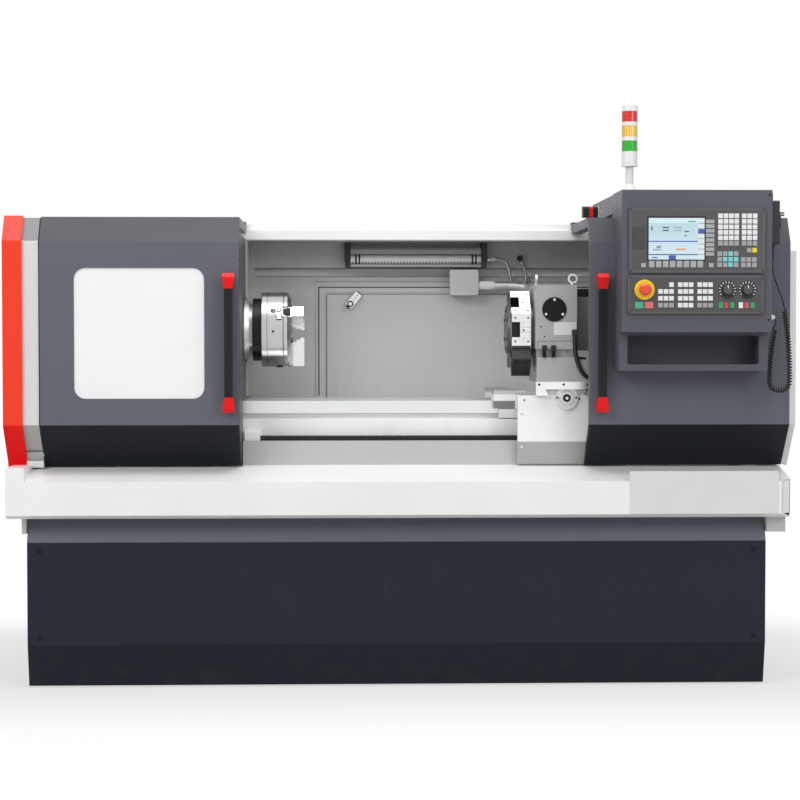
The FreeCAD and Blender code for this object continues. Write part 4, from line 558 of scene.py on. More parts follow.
def pressed_rubber():
    """Pressed rubber with a faint bloom."""
    paint = Finish("black_rubber", (0.014, 0.014, 0.015), 0.62)
    paint.colour(paint.blend(paint.noise(24, 4), (0.011, 0.011, 0.012), (0.022, 0.022, 0.023)))
    paint.rough(0.58 + paint.noise(5) * 0.12)
    paint.bump(paint.noise(0.9), 0.05)
    return paint


# ------------------------------------------------------------------ sheets and castings

def door_paint():
    """Grey door with painted shade on its upper slant, near-black painted shade on its lower slant,
    and the switch on its corner.
    """
    paint = sheet_paint("door_grey_paint", (0.122, 0.127, 0.155), 0.48, 0.04, 0.22)
    # Painted shade: the upper slant is painted darker than the door's grey.
    paint.cover(paint.z.ramp(1404, 1407) * paint.y.fade(-400, -200), (0.086, 0.087, 0.098))
    scuffs(paint, 0.02)
    # Painted shade: the lower slant is painted near black.
    paint.cover(paint.z.fade(828.5, 831.5) * 0.98, (0.0012, 0.0036, 0.0085))
    for colour, x in (((0.012, 0.012, 0.013), (591.5, 656)), ((0.70, 0.70, 0.69), (640, 656)),
                      ((0.62, 0.020, 0.016), (612, 624))):
        paint.mark(colour, x, (-351, -311), (1487.5, 1524))
    return paint


def control_paint():
    paint = sheet_paint("control_grey_paint", (0.098, 0.101, 0.122), 0.46, 0.04, 0.22)
    # Painted shade: a darker band on the box under the machine panel.
    paint.mark((0.078, 0.083, 0.100), (706, 1120), (-536, -400), (1020, 1114))
    paint.mark((0.78, 0.78, 0.77), (1146.2, 1170), (-530, -510), (1158, 1180))
    scuffs(paint, 0.02)
    return paint


def stand_paint():
    """Dark stand with a grey top, a darker foot, a little dust and four round plugs."""
    paint = sheet_paint("stand_dark_paint", (0.0115, 0.0150, 0.0265), 0.44, 0.05, 0.22)
    paint.cover(paint.z.ramp(460, 464) * paint.y.fade(-352, -348), (0.120, 0.129, 0.158))
    paint.cover(paint.z.fade(136, 141) * 0.85, (0.0045, 0.0075, 0.0135))
    dust = paint.z.fade(10, 150) * paint.noise(70, 5).ramp(0.45, 0.8)
    paint.cover(dust * 0.04, (0.25, 0.24, 0.22))
    scuffs(paint, 0.012)
    for centre in ((-1127, 434), (1127, 434), (-1127, 160), (1127, 160)):
        paint.cover(paint.spot(centre, 8.6) * (paint.y < -440.5), (0.0015, 0.003, 0.007))
    return paint


def white_enamel(name="white_enamel"):
    paint = sheet_paint(name, (0.90, 0.90, 0.895), 0.34, 0.04)
    paint.cover(paint.z.fade(300, 620) * 0.05, (0.4, 0.39, 0.37))
    stain = paint.noise(55, 6).ramp(0.62, 0.85)
    return paint.cover(stain * 0.035, (0.42, 0.41, 0.38))


def end_guard_enamel():
    """Painted shade on the front of the guard, grey on its lower slant and its top cove, and two
    seams on its side.
    """
    paint = sheet_paint("end_guard_enamel", 0.70, 0.36, 0.04)
    front = paint.x > -1236
    # Painted shade: the lower slant of the front is painted grey.
    paint.cover(paint.z.fade(828, 832) * front, 0.42)
    seams = paint.z.between(1390, 1392.5) + paint.z.between(846, 848.5)
    paint.cover((paint.x < -1237) * seams * 0.6, 0.10)
    # Painted shade: the top cove of the front is painted dark grey.
    return paint.cover(paint.z.ramp(1405, 1409) * front, (0.25, 0.25, 0.255))


def wall_paint():
    """Back wall: a painted pale glow in its middle, painted shade over its top, a cable slot
    painted pale against its shade, dark seams, a grommet and dried splashes.
    """
    paint = sheet_paint("back_wall_paint", (0.58, 0.58, 0.585), 0.40, 0.05)
    # Painted light: a pale glow laid over the middle of the wall.
    middle = ((paint.x - 330) / 620).from_centre((paint.z - 1060) / 300)
    paint.cover(middle.fade(0.1, 1.35) * 0.4, 0.72)
    # Painted shade: the top of the wall is painted darker, under the rail.
    paint.cover(paint.z.ramp(1255, 1300), (0.47, 0.47, 0.475))
    # Painted light: the back of the cable slot is painted far paler than the wall, to outweigh the
    # shade in it.
    paint.mark(0.92, (-480, 1000), (249, FAR), (1316.5, 1341.5))
    for x, z in (((-259.5, -255), (900, 1279)), ((-259.5, 886), (1275.5, 1279.5)),
                 ((-480, 900), (1341.5, 1344.5)), ((-480, 900), (1313, 1316.5))):
        paint.mark((0.035, 0.035, 0.036), x, (-FAR, 252), z)
    faint = sum(paint.patch(x, (-FAR, 252), z) for x, z in (
        ((-231, -228), (900, 1251)), ((-231, 860), (1251, 1254)), ((-270, 898), (1295, 1298))))
    paint.cover(faint.clamped() * 0.7, 0.12)
    paint.cover(paint.spot((444, 1378), 11) * (paint.y < 249.9), (0.012, 0.012, 0.013))
    splash = paint.z.fade(880, 1080) * paint.noise(24, 6, (1, 1, 0.25)).ramp(0.5, 0.8)
    paint.cover(splash * 0.12, (0.20, 0.19, 0.17))
    paint.rough(0.34 + splash * 0.2)
    return paint


def red_lacquer():
    paint = sheet_paint("red_lacquer", (0.90, 0.052, 0.022), 0.40, 0.03, 0.2)
    # Painted shade: the lower slant of the trim is painted a deeper red.
    paint.cover(paint.z.fade(828, 832), (0.86, 0.0004, 0.0006))
    # Painted light: the upper slant of the trim is painted a lighter red.
    return paint.cover(paint.z.ramp(1404, 1408), (0.92, 0.085, 0.065))


def headstock_finish():
    """Painted casting with a bare turned nose cover."""
    paint = casting_paint("headstock_paint", (0.62, 0.62, 0.61))
    nose = paint.patch((-506, -484), (-150, 150), (960, FAR))
    paint.cover(nose, (0.52, 0.52, 0.53))
    paint.metal(nose * 0.9)
    return paint


def bed_finish():
    """Painted casting whose two ways are ground bright."""
    paint = casting_paint("bed_paint_and_ground_ways", (0.96, 0.96, 0.955))
    ways = (paint.z > 853.5) * (1 - paint.patch((-1001, 1151), (-99.5, 99.5)))
    grind = paint.noise(1.2, 2, (0.02, 1, 1))
    paint.cover(ways, paint.blend(grind, (0.74, 0.75, 0.755), (0.82, 0.83, 0.835)))
    paint.metal(ways * 0.8)
    paint.rough(0.42 - ways * 0.16 + grind * 0.05)
    paint.bump(grind * ways, 0.03)
    # Painted shade: a dark band in the recess under the front way.
    paint.mark(0.17, y=(-256, -168), z=(839, 855.5))
    return paint.cover(paint.patch(y=(-FAR, -195), z=(690, 742)) * 0.5, 0.42)


def cabinet_paint():
    """Light grey with a yellow switch plate, its red handle and dark hinges."""
    paint = sheet_paint("cabinet_light_grey", (0.56, 0.565, 0.56), 0.44, 0.06)
    paint.mark((0.60, 0.42, 0.02), (-432, -350), (619, 660), (1190, 1260))
    paint.mark((0.55, 0.02, 0.015), (-398, -382), (630, 660), (1190, 1250))
    for z in ((179, 241), (1259, 1321)):
        paint.mark(0.05, (-1112, -1086), (606, 640), z)
    return paint


# ------------------------------------------------------------------ moving steel parts

def jaw_finish():
    paint = milled_steel("jaw_steel", (0.82, 0.82, 0.83), 0.24, (1, 1, 0.06))
    return paint.cover(paint.x.repeat(3).between(0, 0.35) * paint.patch((-349, -339)), 0.10)


def turret_disc_finish():
    """Ground steel with painted shade inside its tool slots, and two fine clamp seams on each flat.
    """
    paint = milled_steel("turret_disc_steel", (0.76, 0.76, 0.765), 0.32, (1, 1, 0.06))
    out, up = paint.y - TURRET_AXIS[1], paint.z - SPINDLE_HEIGHT
    radius = out.from_centre(up)
    flat = 360 / TURRET_FLATS
    swing = ((paint.angle(up, out) + 382.5).repeat(flat) - 0.5) * (flat / DEGREES)
    aside = (radius * swing.sum("SINE", swing)).beyond(0)
    reach = radius * swing.sum("COSINE", swing)
    # Painted shade: the inside of each tool slot is painted near black.
    slot = reach.between(80, 124.4) * paint.patch((371.5, 399))
    paint.cover(slot, (0.014, 0.014, 0.015))
    paint.cover(aside.between(7.4, 8.3) * (paint.x > 398), 0.10)
    paint.mark(0.12, (432.5, 446))
    face = paint.x < 370.6
    paint.cover(face, (0.10, 0.10, 0.102))
    paint.metal(1 - slot * 0.6 - face * 0.3)
    return paint


def black_steel():
    paint = milled_steel("black_oxide_steel", (0.007, 0.007, 0.008), 0.50)
    paint.metal(0.2)
    return paint


def saddle_finish():
    """White casting with a steel screw cap, grey wiper plates and a bare dovetail with painted
    shade in its gaps.
    """
    paint = casting_paint("saddle_white_paint", (0.90, 0.90, 0.895))
    for x in ((300, 388.6), (703.4, 780)):
        paint.mark(0.22, x, z=(870, 897))
    cap = paint.spot((546, 910), 38) * (paint.y < -300.3)
    paint.cover(cap, 0.62)
    bare = paint.patch(y=(-301, FAR), z=(918.5, 938))
    paint.cover(bare, 0.50)
    # Painted shade: near black in the sloped gaps beside the dovetail and along its top.
    slope = (paint.x - 546).beyond(0) - (paint.z - 918) * 0.579
    dark = bare * ((slope > 55.4) + (paint.z > 934.8)).clamped()
    paint.cover(dark * paint.patch((447, 647)), (0.010, 0.010, 0.011))
    paint.metal((cap + bare).clamped() * 0.9)
    return paint


def apron_paint():
    paint = casting_paint("apron_white_paint", (0.92, 0.92, 0.915))
    return paint.cover(paint.z.fade(766, 772) * 0.9, 0.40)


def rear_set_finish():
    """Grey junction box and bracket, bright gland and a black motor."""
    paint = casting_paint("carriage_rear_paint", (0.60, 0.60, 0.605))
    paint.mark((0.92, 0.92, 0.925), (295.5, 353), (188, 222), (1267, 1301))
    return paint.mark((0.020, 0.020, 0.022), (494, 598), (222, 330), (760, 872))


def housing_paint():
    """Turret housing: grey casting, with black bands behind, a line, an elbow and a fitting."""
    paint = casting_paint("turret_housing_paint", (0.42, 0.42, 0.425))
    paint.cover(paint.z.ramp(1040, 1042) * paint.z.fade(1066, 1068) * 0.35, 0.20)
    paint.cover(paint.z.fade(1040, 1041) * 0.4, 0.46)
    behind = (578.4, 640)
    paint.mark((0.30, 0.30, 0.305), behind, z=(1030, 1275))
    for z in ((1236, 1262), (1034, 1060)):
        paint.mark((0.012, 0.012, 0.013), behind, z=z)
    for x, z in (((452, 563), (1092, 1093.6)), ((451, 452.6), (1067, 1093.6))):
        paint.mark(0.03, x, (-FAR, -300), z)
    paint.mark(0.02, (560, 580), (-334, -312.4), (1110, 1132))
    return paint.mark(0.02, (629, 647), (-318, -294), (961, 984))


def fittings_finish():
    """Black cover and plugs with bright eye bolts."""
    paint = Finish("fittings_black_and_bright", (0.006, 0.006, 0.007), 0.60,
                   Specular_IOR_Level=0.2)
    eye = paint.z > 1272
    paint.cover(eye, (0.72, 0.72, 0.73))
    paint.metal(eye)
    paint.rough(0.60 - eye * 0.34 + paint.noise(9) * 0.06)
    paint.bump(paint.noise(1.4), 0.05)
    return paint


def motor_enamel():
    paint = casting_paint("motor_black_enamel", (0.022, 0.023, 0.026))
    fins = paint.z.repeat(12).between(0, 0.35)
    return paint.cover(fins * 0.3, (0.010, 0.010, 0.012))


def ribbed_belt():
    paint = black_moulding("drive_belt_rubber", (0.014, 0.014, 0.015), 0.62)
    paint.bump(paint.x.wave(5), 0.8)
    return paint


def thread_steel():
    """The feed screw: a coarse thread painted near black as shade, darkest between its crests."""
    pitch = 6
    # Painted shade: the screw's steel is painted near black.
    paint = Finish("feed_screw_thread", 0.03, 0.42, 0.7)
    turn = paint.angle(paint.y + 226, paint.z - 766) * (pitch / 360)
    crest = (paint.x + turn).wave(pitch) * 0.5 + 0.5
    end = ((paint.x > 1040) + (paint.x < -470)).clamped()
    thread = 1 - end
    # Painted shade: darkest between the crests, a little lighter on the crests and the plain ends.
    paint.colour(paint.blend(crest.ramp(0.55, 0.95) * thread + end, 0.004, 0.035))
    paint.bump(crest * thread, 1.6)
    return paint


def feet_finish():
    """Zinc-plated studs on dark shoes."""
    paint = Finish("zinc_plated_feet", (0.50, 0.50, 0.48), 0.36, 1)
    paint.colour(paint.blend(paint.noise(18, 5), (0.40, 0.40, 0.38), (0.60, 0.60, 0.58)))
    shoe = paint.z.fade(14, 16)
    paint.cover(shoe, 0.03)
    paint.metal(1 - shoe * 0.9)
    paint.bump(paint.noise(2), 0.06)
    return paint


# ------------------------------------------------------------------ lamp, window and handles

def lamp_housing_finish():
    """Black housing with a grey hood and strip, their dark seams and a grey gland."""
    paint = black_moulding("lamp_black_housing", rough=0.42)
    hood = (-147, 307)
    paint.mark((0.40, 0.40, 0.405), hood, z=(1389, 1430))
    paint.mark((0.46, 0.46, 0.465), hood, z=(1344, 1357))
    for z in ((1408, 1411), (1343, 1347.5)):
        paint.mark(0.03, hood, z=z)
    return paint.mark(0.62, (325.2, 356))


def lamp_glass():
    """A ribbed tube with its row of light points behind it, its ribs painted in a shaded and a lit
    tone, and a painted highlight along its middle.
    """
    dull, bright = (0.62, 0.63, 0.62), (0.86, 0.87, 0.86)
    paint = Finish("lamp_ribbed_tube", dull, 0.16, Coat_Weight=0.4)
    ribs = paint.x.wave(4) * 0.5 + 0.5
    # Painted light: the ribs alternate between a shaded and a lit tone.
    paint.colour(paint.blend(ribs, dull, bright))
    dots = paint.x.repeat(11).between(0.25, 0.75) * paint.patch(z=(1360, 1366))
    paint.cover(dots, (0.24, 0.25, 0.24))
    # Painted highlight: a pale band along the middle of the tube.
    paint.cover((paint.z - 1373.5).beyond(0).fade(2, 12) * 0.5, bright)
    paint.bump(ribs, 0.35)
    return paint


def window_sheet():
    """Clear sheet painted nearly opaque, its pale colour a painted reflection of the pale room,
    with painted greyer reflection in clouds, in streaks and towards its left and right edges.
    """
    paint = Finish("window_clear_sheet", (0.90, 0.905, 0.91), 0.10, Coat_Weight=0.5)
    # Painted reflection: grey clouds, grey streaks and greyer side edges over the sheet's pale
    # colour.
    painted_reflection_clouds = paint.noise(170, 3, (0.35, 1, 1)).ramp(0.35, 0.7)
    painted_reflection_streaks = paint.noise(60, 2, (0.10, 1, 1)).ramp(0.62, 0.8)
    rim = 1 - paint.x.ramp(-1016, -985) * paint.x.fade(-650, -609)
    paint.colour(paint.blend(painted_reflection_clouds, (0.975, 0.98, 0.985), (0.93, 0.935, 0.94)))
    for mask in (painted_reflection_streaks * 0.18, rim * 0.15):
        paint.cover(mask, (0.78, 0.79, 0.80))
    paint.give("Alpha", 0.93 - painted_reflection_streaks * 0.06)
    return paint


def handle_finish():
    """Red end caps on a black ribbed grip, the upper cap painted lighter towards its top as a
    highlight.
    """
    paint = Finish("handle_red_caps_black_grip", (0.007, 0.007, 0.008), 0.42,
                   Specular_IOR_Level=0.3)
    caps = ((paint.z < 918) + (paint.z > 1258)).clamped()
    # Painted highlight: the upper cap's red grows lighter towards its top.
    red_with_painted_highlight = paint.blend(paint.z.ramp(1258, 1306), (0.80, 0.0015, 0.003), (0.88, 0.004, 0.009))
    paint.cover(caps, red_with_painted_highlight)
    paint.rough(0.42 - caps * 0.12 + paint.noise(8) * 0.05)
    paint.bump(paint.noise(0.9) * (1 - caps), 0.06)
    return paint


# ------------------------------------------------------------------ control

def panel_film():
    """Matt film on the display unit, a shade lighter in a thin border."""
    paint = black_moulding("display_unit_film", (0.070, 0.071, 0.074), 0.52)
    inner = paint.patch((711, 1115), z=(1312, 1496))
    paint.cover((1 - inner) * 0.6, (0.10, 0.10, 0.104))
    return paint.mark((0.020, 0.020, 0.021), (757, 941), z=(1339, 1478))


def console_film():
    """Film of the machine panel, with the yellow collar and the tick rings of both dials."""
    paint = black_moulding("machine_panel_film", (0.062, 0.063, 0.066), 0.52)
    inner = paint.patch((707, 1113), z=(1185, 1289))
    paint.cover((1 - inner) * 0.6, (0.10, 0.10, 0.104))
    for centre in DIAL_CENTRES:
        across, up = paint.x - centre, paint.z - DIAL_HEIGHT
        radius, angle = across.from_centre(up), paint.angle(across, up)
        paint.cover(radius < 28.5, (0.010, 0.010, 0.011))
        ticks = (angle + 360).repeat(22.5).between(0.36, 0.64) * radius.between(20.5, 26.5)
        for gap in (-180, 140):
            ticks = ticks * (1 - (angle - gap).between(0, 40))
        paint.cover(ticks, (0.75, 0.75, 0.76))
    return paint.cover(paint.spot(STOP_CENTRE, 31.6) * (paint.y < -598.2), (0.88, 0.56, 0.012))


PORT_COVER = ((712, 753), (1376, 1446))
KEY_COLOURS = (  # colour, then the spans across and up that hold it
    ((0.40, 0.40, 0.41), ((938, 966), (1340, 1470)), ((738, 980), (1315, 1342))),
    ((0.36, 0.36, 0.37), ((974, 1112), (1384, 1402)), ((1064, 1082), (1362, 1383)),
     ((973, 1112), (1305, 1371.5)), ((790, 850), (1190, 1214)), ((912, 970), (1190, 1214))),
    ((0.040, 0.040, 0.042), PORT_COVER),
    ((0.20, 0.62, 0.62), ((1007.5, 1024), (1318, 1371.5)), ((990.5, 1040.5), (1335.5, 1353.5))),
    ((0.86, 0.66, 0.02), ((1082, 1101), (1362, 1383))),
    ((0.05, 0.42, 0.22), ((720, 750), (1190, 1218))),
    ((0.72, 0.16, 0.15), ((750, 780), (1190, 1218))),
    ((0.02, 0.34, 0.12), ((979, 994), (1190, 1217)), ((1014, 1029), (1190, 1217)),
     ((1077, 1092), (1190, 1217))),
    ((0.56, 0.05, 0.08), ((996.5, 1011.5), (1190, 1217))),
    ((0.60, 0.08, 0.16), ((1059, 1074), (1190, 1217))))


def key_finish():
    """Key caps in their colours: pale blocks, grey soft keys, and the few coloured ones."""
    paint = Finish("key_caps_many_colours", 0.84, 0.40)
    for colour, *spans in KEY_COLOURS:
        for x, z in spans:
            paint.mark(colour, x, z=z)
    small = paint.noise(1.7, 0).ramp(0.60, 0.63)
    cover = paint.patch(PORT_COVER[0], z=PORT_COVER[1])
    paint.cover(small * 0.35 * (1 - cover), (0.12, 0.12, 0.13))
    paint.bump(paint.noise(0.8), 0.03)
    return paint


SIDE_KEYS = (0.885, 1)
SCREEN_FIELDS = [  # spans across and up, as shares of the screen, and colour
    ((0, 0.88), (0.88, 1), (0.60, 0.74, 0.80)),
    ((0, 0.88), (0.425, 0.45), (0.030, 0.075, 0.42)),
    ((0, 1), (0.105, 0.13), (0.06, 0.08, 0.10)),
    (SIDE_KEYS, (0, 1), (0.62, 0.72, 0.74)),
    (SIDE_KEYS, (0.625, 0.735), (0.040, 0.085, 0.36)),
    *((SIDE_KEYS, (step / 8 - 0.006, step / 8 + 0.006), (0.10, 0.14, 0.16))
      for step in range(1, 8)),
    ((0.36, 0.49), (0, 0.10), (0.040, 0.085, 0.40)),
    ((0.25, 0.36), (0.755, 0.785), (0.03, 0.04, 0.06)),
    ((0.25, 0.36), (0.685, 0.715), (0.03, 0.04, 0.06)),
    ((0.45, 0.60), (0.755, 0.775), (0.20, 0.26, 0.30)),
    ((0.45, 0.60), (0.685, 0.705), (0.20, 0.26, 0.30)),
    ((0.64, 0.72), (0.66, 0.69), (0.05, 0.06, 0.10)),
    ((0.64, 0.68), (0.56, 0.59), (0.05, 0.06, 0.10)),
    ((0.04, 0.07), (0.70, 0.80), (0.12, 0.16, 0.20)),
    ((0.08, 0.22), (0.22, 0.25), (0.22, 0.28, 0.32)),
    ((0.14, 0.22), (0.27, 0.33), (0.22, 0.28, 0.32)),
    ((0.49, 0.66), (0.23, 0.265), (0.80, 0.22, 0.03)),
    ((0.70, 0.84), (0.90, 0.93), (0.05, 0.36, 0.30)),
    ((0.06, 0.16), (0.03, 0.06), (0.10, 0.12, 0.20))]


def display_glass():
    """A lit screen with plain generic panels: pale fields, rules and short bars for text."""
    paint = Finish("lit_display", 0.02, 0.22, Coat_Weight=0.3)
    across, up = (paint.x - 763) / 172, (paint.z - 1345) / 127
    look = paint.blend(up.ramp(0, 1), (0.56, 0.70, 0.80), (0.44, 0.62, 0.66))
    for x, z, colour in SCREEN_FIELDS:
        look = paint.blend(across.between(*x) * up.between(*z), look, colour)
    rows = up.repeat(0.07).between(0.35, 0.6) * paint.noise(3.2, 0).ramp(0.56, 0.6)
    rows = rows * across.between(0.03, 0.60) * up.between(0.55, 0.84)
    look = paint.blend(rows * 0.35, look, (0.10, 0.13, 0.18))
    paint.colour(look)
    paint.give("Emission Color", look)
    paint.give("Emission Strength", 0.14)
    return paint


def tower_plastic():
    paint = Finish("tower_white_plastic", (0.80, 0.80, 0.79), 0.35)
    paint.colour(paint.blend(paint.noise(25), (0.76, 0.76, 0.75), (0.83, 0.83, 0.82)))
    paint.bump(paint.noise(1.2), 0.03)
    return paint


def lens_finish():
    """Green, amber and red lenses with upright ribs inside, the ribs painted lighter on amber and
    darker on the others as light and shade, and painted shade on the lenses' left and right sides.
    """
    paint = Finish("signal_lens_colours", (0.006, 0.46, 0.012), 0.18, Coat_Weight=0.3)
    amber = paint.patch(z=(1725, 1763))
    paint.cover(amber, (0.86, 0.48, 0.020))
    paint.cover(paint.z > 1771, (0.72, 0.004, 0.005))
    ribs = (paint.angle(paint.x - 716, paint.y + 510) + 360).repeat(18).between(0, 0.4)
    # Painted light and shade: the ribs are lighter on the amber lens and darker on the others.
    paint.cover(ribs * amber * 0.55, (0.95, 0.78, 0.30))
    paint.cover(ribs * (1 - amber) * 0.22, (0.05, 0.02, 0.01))
    # Painted shade: the lenses darken towards their left and right sides.
    edge = paint.x.ramp(690, 702) * paint.x.fade(730, 742)
    paint.cover((1 - edge) * 0.35, (0.10, 0.05, 0.01))
    paint.bump(ribs, 0.25)
    return paint


def red_button():
    paint = Finish("stop_button_red", (0.72, 0.045, 0.020), 0.30, Coat_Weight=0.2)
    # Painted highlight: the middle of the button is painted a lighter red.
    paint.cover(paint.spot(STOP_CENTRE, 12.5) * 0.5, (0.86, 0.10, 0.035))
    paint.bump(paint.noise(3), 0.03)
    return paint


def knob_finish(name, centre):
    """Dark knob with a pale pointer."""
    paint = black_moulding(name, (0.070, 0.070, 0.073), 0.45)
    return paint.mark(0.8, (centre - 1.1, centre + 1.1), (-613, -598), (1256, 1268))


def wheel_finish():
    """Dark hand wheel with a pale ring for its scale."""
    paint = black_moulding("hand_wheel_moulding", (0.026, 0.026, 0.028), 0.38)
    ring = (paint.y + 520).from_centre(paint.z - 1466).between(20, 26) * (paint.x > 1182.5)
    return paint.cover(ring * 0.8, 0.62)


# ------------------------------------------------------------------ dressing the solids

enamel, moulding, clear = white_enamel(), black_moulding(), window_sheet()
door_look, stand_look, cabinet_look = door_paint(), stand_paint(), cabinet_paint()
jaw_look, handle_look, red_look = jaw_finish(), handle_finish(), red_lacquer()
dark_steel = black_steel()
bright_screw = milled_steel("bright_screw_steel", 0.72, 0.22)

NODE_FINISH = {
    "base_frame": stand_look, "base_front_cover": stand_look, "levelling_feet": feet_finish(),
    "chip_tray": white_enamel("chip_tray_enamel").mark(0.50, y=(-300, FAR), z=(692, FAR)),
    "bed": bed_finish(), "headstock_casting": headstock_finish(), "spindle_motor": motor_enamel(),
    "drive_belt": ribbed_belt(), "headstock_guard": enamel,
    "headstock_partition": sheet_paint("partition_dark_paint", (0.060, 0.062, 0.072), 0.45),
    "left_end_guard": end_guard_enamel(), "red_end_trim": red_look, "right_end_guard": enamel,
    "top_guide_rail": enamel, "rear_splash_guard": wall_paint(),
    "lamp_housing": lamp_housing_finish(), "lamp_tube": lamp_glass(),
    "electrical_cabinet": cabinet_look, "cabinet_door": cabinet_look, "z_servo_motor": moulding,
    "spindle": turned_steel("spindle_steel", (0.50, 0.50, 0.51), 0.28).mark(
        (0.030, 0.030, 0.033), (-474.5, -446)),
    "chuck_body": turned_steel("chuck_polished_steel", (0.58, 0.58, 0.59), 0.17).mark(
        0.05, (-372, -369.5)).mark(0.05, (-425, -423.6)),
    "chuck_jaw_1": jaw_look, "chuck_jaw_2": jaw_look, "chuck_jaw_3": jaw_look,
    "motor_pulley": milled_steel("ground_steel", 0.60), "panel_latch": bright_screw,
    "left_door": door_look, "right_door": door_look, "left_window": clear,
    "left_handle": handle_look, "right_handle": handle_look, "control_box": control_paint(),
    "operator_unit": panel_film(), "operator_screen": display_glass(),
    "machine_panel": console_film(), "key_caps": key_finish(), "signal_tower": tower_plastic(),
    "signal_lenses": lens_finish(), "estop_button": red_button(),
    "pendant_body": black_moulding("hand_unit_moulding", (0.018, 0.018, 0.020)),
    "feed_override_knob": knob_finish("feed_knob_moulding", DIAL_CENTRES[0]),
    "spindle_override_knob": knob_finish("speed_knob_moulding", DIAL_CENTRES[1]),
    "pendant_wheel": wheel_finish(), "saddle": saddle_finish(), "apron": apron_paint(),
    "carriage_rear_set": rear_set_finish(),
    "cross_slide": milled_steel("cross_slide_steel", 0.88, 0.30, (1, 0.05, 1)),
    "turret_housing": housing_paint(), "turret_fittings": fittings_finish(),
    "turret_disc": turret_disc_finish(), "boring_holder": dark_steel,
    "z_ballscrew": thread_steel(),
    "tailstock_body": casting_paint("cast_iron_paint", (0.62, 0.62, 0.61)),
    "tailstock_quill": turned_steel("quill_ground_steel", 0.62),
    "quill_handwheel": turned_steel("handwheel_steel", 0.60),
}


def dress(piece, finish):
    piece.data.materials.clear()
    piece.data.materials.append(finish.material)


for node_name, finish in NODE_FINISH.items():
    dress(lathe[node_name], finish)

dress(lamp_flex, flexible_steel("lamp_conduit_steel", (0.42, 0.42, 0.425), 0.18))
dress(turret_flex, flexible_steel("turret_conduit_braid", 0.72, 0.40))
dress(coolant_hose, black_moulding("coolant_hose_rubber", 0.010, 0.45))
dress(curly_cord, cord_rubber())
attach(lamp_flex, "base")
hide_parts("lamp_conduit")
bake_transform(turret_flex)
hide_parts("turret_conduit")
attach(coolant_hose, "cross_slide")
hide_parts("turret_hose")
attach(curly_cord, "right_door")
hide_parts("pendant_cord")

LOOKS = {  # the material slot and the finish of each kind of fitting
    "bright": ("machined_steel", bright_screw),
    "dark": ("dark_steel", dark_steel),
    "black": ("black_plastic", moulding),
    "rubber": ("black_plastic", pressed_rubber()),
    "white": ("white_paint", enamel),
    "red": ("red_paint", red_look),
    "guard": ("white_paint", NODE_FINISH["left_end_guard"]),
    "bare_plate": ("machined_steel", bare_plate_finish()),
    "bracket": ("cabinet_paint", sheet_paint("bracket_light_grey", 0.56, 0.42, 0.06)),
    "cabinet": ("cabinet_paint", cabinet_look),
    "jaw_nut": ("machined_steel", milled_steel("jaw_nut_steel", 0.66, 0.26)),
    "gland": ("white_plastic", NODE_FINISH["signal_tower"]),
}


# ------------------------------------------------------------------ shaping a piece

FRONT, BACK = Vector((0, -1, 0)), Vector((0, 1, 0))
LEFT, RIGHT = Vector((-1, 0, 0)), Vector((1, 0, 0))
DOWN, UP = Vector((0, 0, -1)), Vector((0, 0, 1))
BAR_TURN = {"X": (0, math.pi / 2, 0), "Y": (math.pi / 2, 0, 0), "Z": (0, 0, 0)}


def alone(piece):
    """Selects one piece and makes it the active one."""
    bpy.ops.object.select_all(action="DESELECT")
    piece.select_set(True)
    bpy.context.view_layer.objects.active = piece


def started(name, piece=None):
    """Names a piece, or the newest primitive, and moves its place into its mesh."""
    piece = piece or bpy.context.object
    piece.name = name
    alone(piece)
    bpy.ops.object.transform_apply(location=True, rotation=True, scale=True)
    return piece


def slab(name, x, y, z):
    """A cuboid between two places on each axis."""
    middle = [(pair[0] + pair[1]) / 2000 for pair in (x, y, z)]
    sides = [(pair[1] - pair[0]) / 1000 for pair in (x, y, z)]
    bpy.ops.mesh.primitive_cube_add(size=1, location=middle, scale=sides)
    return started(name)


def round_piece(name, axis, span, across, radius, sides=32):
    """A round bar along an axis."""
    centre = list(across)
    centre.insert("XYZ".index(axis), (span[0] + span[1]) / 2)
    bpy.ops.mesh.primitive_cylinder_add(vertices=sides, radius=radius / 1000,
                                        depth=(span[1] - span[0]) / 1000,
                                        location=metres(centre), rotation=BAR_TURN[axis])
    return started(name)


def pick(piece, *ways):
    """Opens a piece for editing with the faces that look one of the ways selected."""
    alone(piece)
    bpy.ops.object.mode_set(mode="EDIT")
    bpy.ops.mesh.select_mode(type="FACE")
    bpy.ops.mesh.select_all(action="DESELECT")
    bpy.ops.object.mode_set(mode="OBJECT")
    for face in piece.data.polygons:
        face.select = any(face.normal.dot(way) > 0.9 for way in ways)
    bpy.ops.object.mode_set(mode="EDIT")


def close(piece):
    """Leaves edit mode."""
    bpy.ops.object.mode_set(mode="OBJECT")
    return piece


def sink(piece, way, margin, depth):
    """Insets the faces that look one way by a margin and lets them in by a depth."""
    pick(piece, way)
    bpy.ops.mesh.inset(thickness=margin / 1000)
    bpy.ops.mesh.inset(thickness=0.00001, depth=-depth / 1000)
    return close(piece)


def pull(piece, way, move):
    """Extrudes the faces that look one way."""
    pick(piece, way)
    bpy.ops.mesh.extrude_region_move(TRANSFORM_OT_translate={"value": metres(move)})
    return close(piece)


def shift(piece, way, move):
    """Moves the faces that look one way."""
    pick(piece, way)
    bpy.ops.transform.translate(value=metres(move))
    return close(piece)


def taper(piece, way, factors, centre):
    """Scales the faces that look one way about a centre."""
    pick(piece, way)
    bpy.ops.transform.resize(value=factors, center_override=metres(centre))
    return close(piece)


